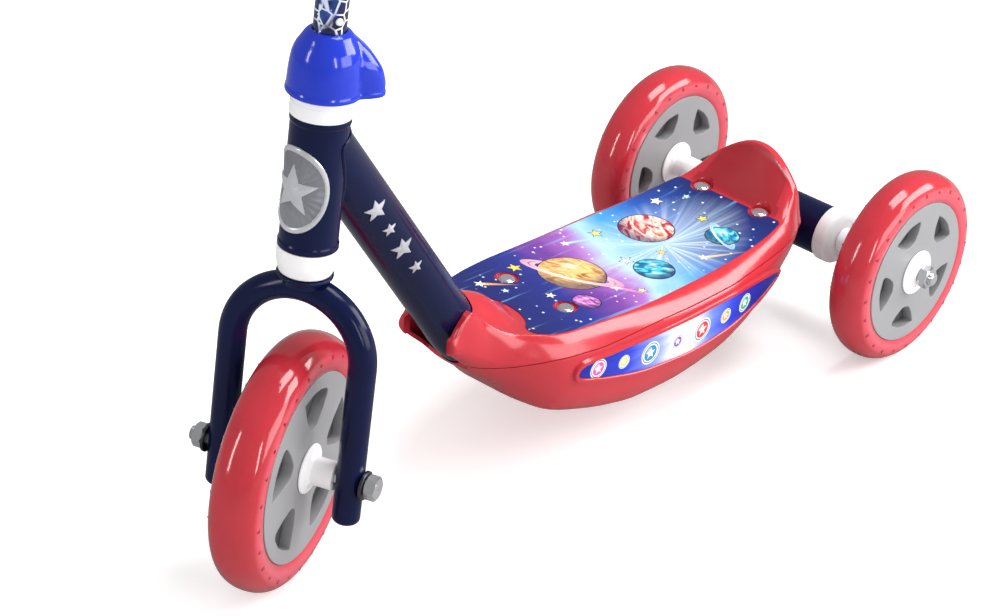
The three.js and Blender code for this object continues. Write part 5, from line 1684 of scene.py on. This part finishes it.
def deck_artwork():
    """The footboard's picture as a node group: planets, comets and stars before a burst of light."""
    group, place = picture_group("deck_artwork")
    parts = new_node(group, "ShaderNodeSeparateXYZ", inputs={0: place})
    x, y = parts.outputs["X"], parts.outputs["Y"]
    drift = calc("MULTIPLY_ADD", noise(place, 22.0, 4.0, 0.6), 0.05, -0.025)
    along = calc("ADD", y, calc("MULTIPLY_ADD", x, 0.25, drift))
    colour = ramp(fade(along, -0.29, -0.05), [
        (0.0, (24, 34, 104)), (0.16, (38, 48, 140)), (0.3, (122, 64, 158)),
        (0.42, (176, 112, 196)), (0.52, (172, 214, 240)), (0.66, (70, 158, 222)),
        (0.82, (30, 84, 176)), (1.0, (20, 36, 104))])
    burst = mark_at(round_mark, x, y, 6, -128, 46, 1.6, 0.1, 44)
    bearing = calc("ARCTAN2", burst["Up"], burst["Across"])
    spokes = new_node(group, "ShaderNodeCombineXYZ", inputs={
        "X": calc("COSINE", bearing), "Y": calc("SINE", bearing), "Z": 3.0})
    rays = fade(noise(spokes.outputs[0], 9.0, 4.0), 0.46, 0.64)
    glow = calc("MULTIPLY", burst["Mask"], calc("MULTIPLY_ADD", rays, 0.75, 0.45), clamp=True)
    colour = blend(glow, colour, (222, 244, 255))
    streak = new_node(group, "ShaderNodeMapping", inputs={
        "Vector": place, "Scale": (260.0, 14.0, 1.0), "Rotation": (0, 0, 0.35)})
    streaks = fade(noise(streak.outputs[0], 1.0, 2.0), 0.6, 0.75, 0.0, 0.4)
    colour = blend(streaks, colour, (132, 196, 240))
    dots = new_node(group, "ShaderNodeTexVoronoi", inputs={"Vector": place, "Scale": 150.0})
    speck = fade(dots.outputs["Distance"], 0.16, 0.1)
    colour = blend(calc("MULTIPLY", speck, 0.8), colour, (236, 246, 255))
    for cx, cy, length, width, turn, tint in (
            (-27, -262, 34, 2.2, 0.9, (255, 188, 96)), (24, -196, 40, 2.4, 0.5, (255, 150, 190)),
            (-33, -176, 34, 1.9, 1.25, (164, 236, 255)), (33, -122, 40, 2.0, 1.1, (255, 214, 120))):
        colour = comet(x, y, colour, cx, cy, length, width, turn, tint)
    gold = [(0.25, (118, 70, 34)), (0.4, (206, 148, 78)), (0.52, (246, 214, 140)),
            (0.62, (214, 122, 92)), (0.75, (250, 232, 176))]
    rose = [(0.25, (120, 30, 44)), (0.42, (206, 62, 66)), (0.55, (250, 236, 226)),
            (0.66, (226, 128, 70)), (0.8, (60, 40, 60))]
    teal = [(0.25, (16, 60, 104)), (0.45, (24, 128, 176)), (0.58, (96, 214, 222)),
            (0.75, (230, 252, 255))]
    violet = [(0.3, (98, 44, 130)), (0.5, (192, 98, 186)), (0.7, (252, 196, 226))]
    colour = planet_ring(x, y, colour, -4, -204, 33, 0.42, False, (238, 150, 178))
    colour = planet(x, y, colour, -4, -204, 21, gold, 0.42, 3.4, 2.0)
    colour = planet_ring(x, y, colour, -4, -204, 33, 0.42, True, (238, 150, 178))
    colour = planet(x, y, colour, -14, -120, 17.5, rose, -0.5, 3.0, 7.0)
    colour = planet(x, y, colour, 23, -158, 12.5, teal, 0.8, 3.2, 4.0)
    colour = planet(x, y, colour, 26, -226, 8.5, violet, 0.2, 3.0, 9.0)
    colour = planet_ring(x, y, colour, 24, -92, 17, -0.5, False, (120, 190, 250))
    colour = planet(x, y, colour, 24, -92, 10.5, teal, -0.5, 2.6, 12.0)
    colour = planet_ring(x, y, colour, 24, -92, 17, -0.5, True, (120, 190, 250))
    for cx, cy, size, turn, tint in (
            (-29, -228, 5.2, 0.3, (255, 214, 84)), (8, -238, 3.8, 0.9, (255, 246, 214)),
            (-30, -150, 4.4, 0.1, (255, 226, 110)), (5, -163, 4.6, 0.5, (255, 255, 255)),
            (12, -137, 3.2, 1.1, (255, 214, 84)), (-32, -88, 4.8, 0.7, (255, 255, 255)),
            (2, -84, 4.0, 0.2, (255, 222, 96)), (-22, -70, 3.0, 0.4, (190, 236, 255)),
            (36, -186, 3.4, 0.6, (255, 240, 160)), (-12, -256, 3.0, 0.0, (200, 226, 255))):
        outline = mark_at(star_mark, x, y, cx, cy, size * 1.3, 1.0, turn)
        colour = blend(outline["Mask"], colour, (30, 34, 96))
        star = mark_at(star_mark, x, y, cx, cy, size, 1.0, turn)
        colour = blend(star["Mask"], colour, tint)
    new_node(group, "NodeGroupOutput", inputs={"Colour": colour})
    return group


deck_ink = printed("deck_ink", deck_artwork(), 0.3, 320, **low_gloss)
sheet_cutters = []
for x, y in screw_places:
    height = top_height(x, y)
    sheet_cutters.append(rod_body(dimple_radius + 0.3 * mm, height - 5 * mm, height + 20 * mm, x, y))
sheet_mesh = cut_mesh(*print_sheet(), sheet_cutters)
dress_mesh("deck_print_sheet", sheet_mesh, deck_frame, "frame", ["deck_print"], [deck_ink], 30)

# Four domed, zinc-plated screws sit in dimples of the deck and hold it to two steel brackets on the
# main tube.
for index, (x, y) in enumerate(screw_places):
    seat = top_height(x, y) - dimple_depth + 0.3 * mm
    spot = deck_frame @ Matrix.Translation((x, y, seat))
    turned_piece(f"deck_screw_{index + 1}_zinc", [
        (0, -28 * mm, 0), (1.4 * mm, -27 * mm, 0), (2 * mm, -25 * mm, 0), (2 * mm, 0, 0),
        (5.2 * mm, 0, 0.2 * mm), (5.1 * mm, 0.8 * mm, 0.6 * mm), (3.6 * mm, 1.8 * mm, 1.2 * mm),
        (0, 2 * mm, 0),
    ], spot, "frame", [f"deck_screw_{index + 1}"], [chrome], sides=40, sharp=60)

for bracket in ("deck_bracket_front", "deck_bracket_rear"):
    finish_node(bracket, dark_steel)

# The clamp cover is a glossy blue nylon bell that snaps over the clamp ring, with a lobe over the
# clamp's ears and a hole for the handlebar column.
cover_bottom = 224.6 * mm
cover_height = 35 * mm
cover_rim = 20.2 * mm
cover_wall = 1.8 * mm
cover_hole = 9.3 * mm
cover_corner = 4.5
cover_blend = 1.6 * mm
lobe_reach = 32 * mm
lobe_half = 12.5 * mm
lobe_angle = math.radians(39.5)
cover_frame = fork_frame @ Matrix.Rotation(lobe_angle, 4, "Z")
bell_curve = smooth_curve([
    (0, 1), (0.25, 0.99), (0.58, 0.94), (0.73, 0.86), (0.85, 0.74), (0.97, 0.6), (1, 0.52)])
lobe_curve = smooth_curve([
    (0, 1), (0.14, 1), (0.36, 0.95), (0.58, 0.8), (0.8, 0.56), (0.95, 0.3), (0.98, 0.05)])


def cover_radius(angle, up, inset):
    """The cover's outline in a direction, at a share of its height."""
    bell = cover_rim * bell_curve(up) - inset
    reach = lobe_reach * lobe_curve(up) - inset
    half = lobe_half * (1 - 0.55 * smooth_step((up - 0.45) / 0.55)) - inset
    c, s = math.cos(angle), abs(math.sin(angle))
    if c <= 0.02 or reach <= 0:
        return bell
    square = ((c / reach) ** cover_corner + (s / half) ** cover_corner) ** (-1 / cover_corner)
    fall = math.exp(-abs(bell - square) / cover_blend)
    return max(bell, square) + cover_blend * (math.log(1 + fall) - math.log(2) * fall)


def cover_shell():
    """The bell's outside from its rolled rim up, the edge of its hole, and its inside down again."""
    sides = 120
    rim = [(0, 0.2), (0.012, 0.45), (0.03, 0.5), (0.055, 0.5), (0.07, 0.4), (0.085, 0.1), (0.11, 0)]
    outside = rim + [(0.15 + 0.85 * i / 30, 0) for i in range(31)]
    verts = []

    def add_ring(up, inset, proud, least, height):
        """A ring of the bell's outline at a share of its height."""
        for i in range(sides):
            angle = math.tau * i / sides
            r = max(cover_radius(angle, up, inset) + proud, least)
            verts.append((r * math.cos(angle), r * math.sin(angle), cover_bottom + height))

    for up, bead in outside:
        add_ring(up, 0, bead * mm, cover_hole + 0.6 * mm, cover_height * up)
    for r, z in ((cover_hole + 0.2 * mm, 0.15 * mm), (cover_hole, -0.3 * mm), (cover_hole, -1.6 * mm)):
        verts += [(x, y, cover_bottom + cover_height + z) for x, y in circle(r, sides)]
    for i in range(21):
        up = 0.95 - 0.95 * i / 20
        add_ring(up, cover_wall, 0, cover_hole + 0.3 * mm, (cover_height - 2 * mm) * up)
    return verts, ring_faces(len(verts) // sides, sides, joined=True)


cover_blue = finish_material(
    "cover_blue_nylon", linear(26, 54, 196), 0.16, 450, 0.02, scuffs=0.06, **coated(0.4, 0.06))
verts, faces = cover_shell()
make_piece("clamp_cover_nylon", verts, faces, cover_frame, "steering", ["clamp_cover"],
           [cover_blue], sharp=45)

finish_node("clamp_ring", dark_steel)
finish_node("clamp_bolt", chrome)

# The handlebar column is a printed steel tube that slides into the steerer, with a round hole for
# the snap button. The crossbar is welded over its coped top.
column_radius = 9 * mm
column_wall = 1.4 * mm
column_bottom = 168.3 * mm
bar_height = 553 * mm
bar_half = 146 * mm
button_height = 267 * mm
button_angle = math.radians(-35.7)
button_place = Matrix.Translation((0, 0, button_height)) @ Matrix.Rotation(button_angle, 4, "Z")
bar_radius = 9 * mm
cope_radius = 9.05 * mm
column_sides = 64
column_rows = 90


def column_tube():
    """The column's outside from the bottom to its coped top, and its inside down again."""
    verts = []
    shares = [row / column_rows for row in range(column_rows + 1)]
    for radius, way in ((column_radius, shares), (column_radius - column_wall, shares[::-1])):
        for share in way:
            for x, y in circle(radius, column_sides):
                top = bar_height - math.sqrt(max(cope_radius ** 2 - y * y, 0))
                verts.append((x, y, column_bottom + (top - column_bottom) * share))
    return verts, ring_faces(len(verts) // column_sides, column_sides, joined=True)


def column_artwork():
    """The column's print: pale cell lines and glints over navy and blue."""
    group, place = picture_group("column_artwork")
    patches = noise(place, 55.0, 2.0)
    colour = ramp(patches, [
        (0.3, (14, 18, 46)), (0.5, (20, 30, 84)), (0.62, (40, 84, 160)), (0.75, (20, 30, 84))])
    cells = new_node(group, "ShaderNodeTexVoronoi", feature="DISTANCE_TO_EDGE", inputs={
        "Vector": place, "Scale": 135.0, "Randomness": 0.55})
    line = fade(cells.outputs["Distance"], 0.075, 0.035)
    strong = fade(noise(place, 90.0, 2.0), 0.36, 0.52)
    tone = ramp(noise(place, 40.0, 1.0), [
        (0.4, (214, 226, 250)), (0.55, (250, 250, 255)), (0.66, (246, 236, 170))])
    colour = blend(calc("MULTIPLY", line, strong), colour, tone)
    glints = new_node(group, "ShaderNodeTexVoronoi", inputs={"Vector": place, "Scale": 210.0})
    colour = blend(fade(glints.outputs["Distance"], 0.14, 0.08), colour, (255, 255, 255))
    new_node(group, "NodeGroupOutput", inputs={"Colour": colour})
    return group


column_ink = printed("column_ink", column_artwork(), 0.2, 700, **coated(0.3, 0.06))
hole_verts, hole_faces = rod_body(2.4 * mm, 0, 12 * mm, 0, 0, 32)
hole_verts = [button_place @ along_x @ Vector(v) for v in hole_verts]
column_mesh = cut_mesh(*column_tube(), [(hole_verts, hole_faces)])
dress_mesh("handlebar_column_printed", column_mesh, fork_frame, "steering",
           ["handlebar_column"], [column_ink], 40)
bar_place = fork_frame @ Matrix.Translation((0, 0, bar_height))
turned_piece("handlebar_crossbar_painted", [
    (7.6 * mm, -bar_half, 0.2 * mm), (bar_radius, -bar_half, 0.4 * mm), (bar_radius, bar_half, 0.4 * mm),
    (7.6 * mm, bar_half, 0.2 * mm),
], bar_place @ along_x, "steering", ["handlebar_crossbar"], [enamel])
bead_line = [Vector((x, y, bar_height - math.sqrt(max(bar_radius ** 2 - y * y, 0))))
             for x, y in circle(column_radius, 96)]
weld_bead("crossbar_weld", resampled(bead_line, 120), 1.1 * mm, "steering", fork_frame)

# The snap button is a white nylon pin with a flange. A bent strip spring inside the column pushes
# it out through the hole.
turned_piece("snap_button_nylon", [
    (0, 5.2 * mm, 0), (3 * mm, 5.2 * mm, 0), (3 * mm, 6.2 * mm, 0), (2.1 * mm, 6.2 * mm, 0),
    (2.1 * mm, 9.3 * mm, 0.9 * mm), (1.5 * mm, 10.5 * mm, 0.8 * mm), (0, 10.6 * mm, 0),
], fork_frame @ button_place @ along_x, "snap_lock", ["snap_button"], [white_nylon],
    sides=32, sharp=60)

finish_node("snap_spring", dark_steel)

# The grips are sleeves of soft red rubber pulled over the crossbar's ends. Each has a flange towards
# the middle, ribs, and a closed, rounded end.
grip_red = finish_material(
    "grip_red_rubber", linear(192, 46, 58), 0.32, 340, 0.06, scuffs=0.06, **waxy(0.2, 0.005, 0.001))


def grip_outline():
    """Corners of the grip's outline: its closed bore, its flange, seven ribs and its rounded end."""
    bore, bore_end, start, end = 9.2 * mm, 146.4 * mm, 48 * mm, 150.3 * mm
    flange, ribs = 4 * mm, 7
    corners = [
        (0, bore_end, 0), (bore, bore_end, 0), (bore, start, 0.3 * mm), (19 * mm, start, 1.6 * mm),
        (19 * mm, start + flange, 1.6 * mm), (12.9 * mm, start + flange + 0.2 * mm, 1 * mm)]
    pitch = (end - 4 * mm - start - flange) / ribs
    for i in range(ribs):
        low = start + flange + pitch * i
        if i:
            corners.append((12.5 * mm, low + 0.2 * mm, 0.7 * mm))
        corners += [
            (12.7 * mm, low + pitch * 0.42, 4 * mm), (12.5 * mm, low + pitch * 0.8, 0.7 * mm),
            (11.3 * mm, low + pitch * 0.84, 0.5 * mm), (11.3 * mm, low + pitch * 0.96, 0.5 * mm)]
    return corners + [(12.5 * mm, end - 4.2 * mm, 0.8 * mm), (12.4 * mm, end, 2.6 * mm), (0, end, 0)]


for word, facing in facings.items():
    turned_piece(f"grip_{word}_rubber", grip_outline(), bar_place @ facing, "steering",
                 [f"grip_{word}"], [grip_red], sides=72, sharp=50)
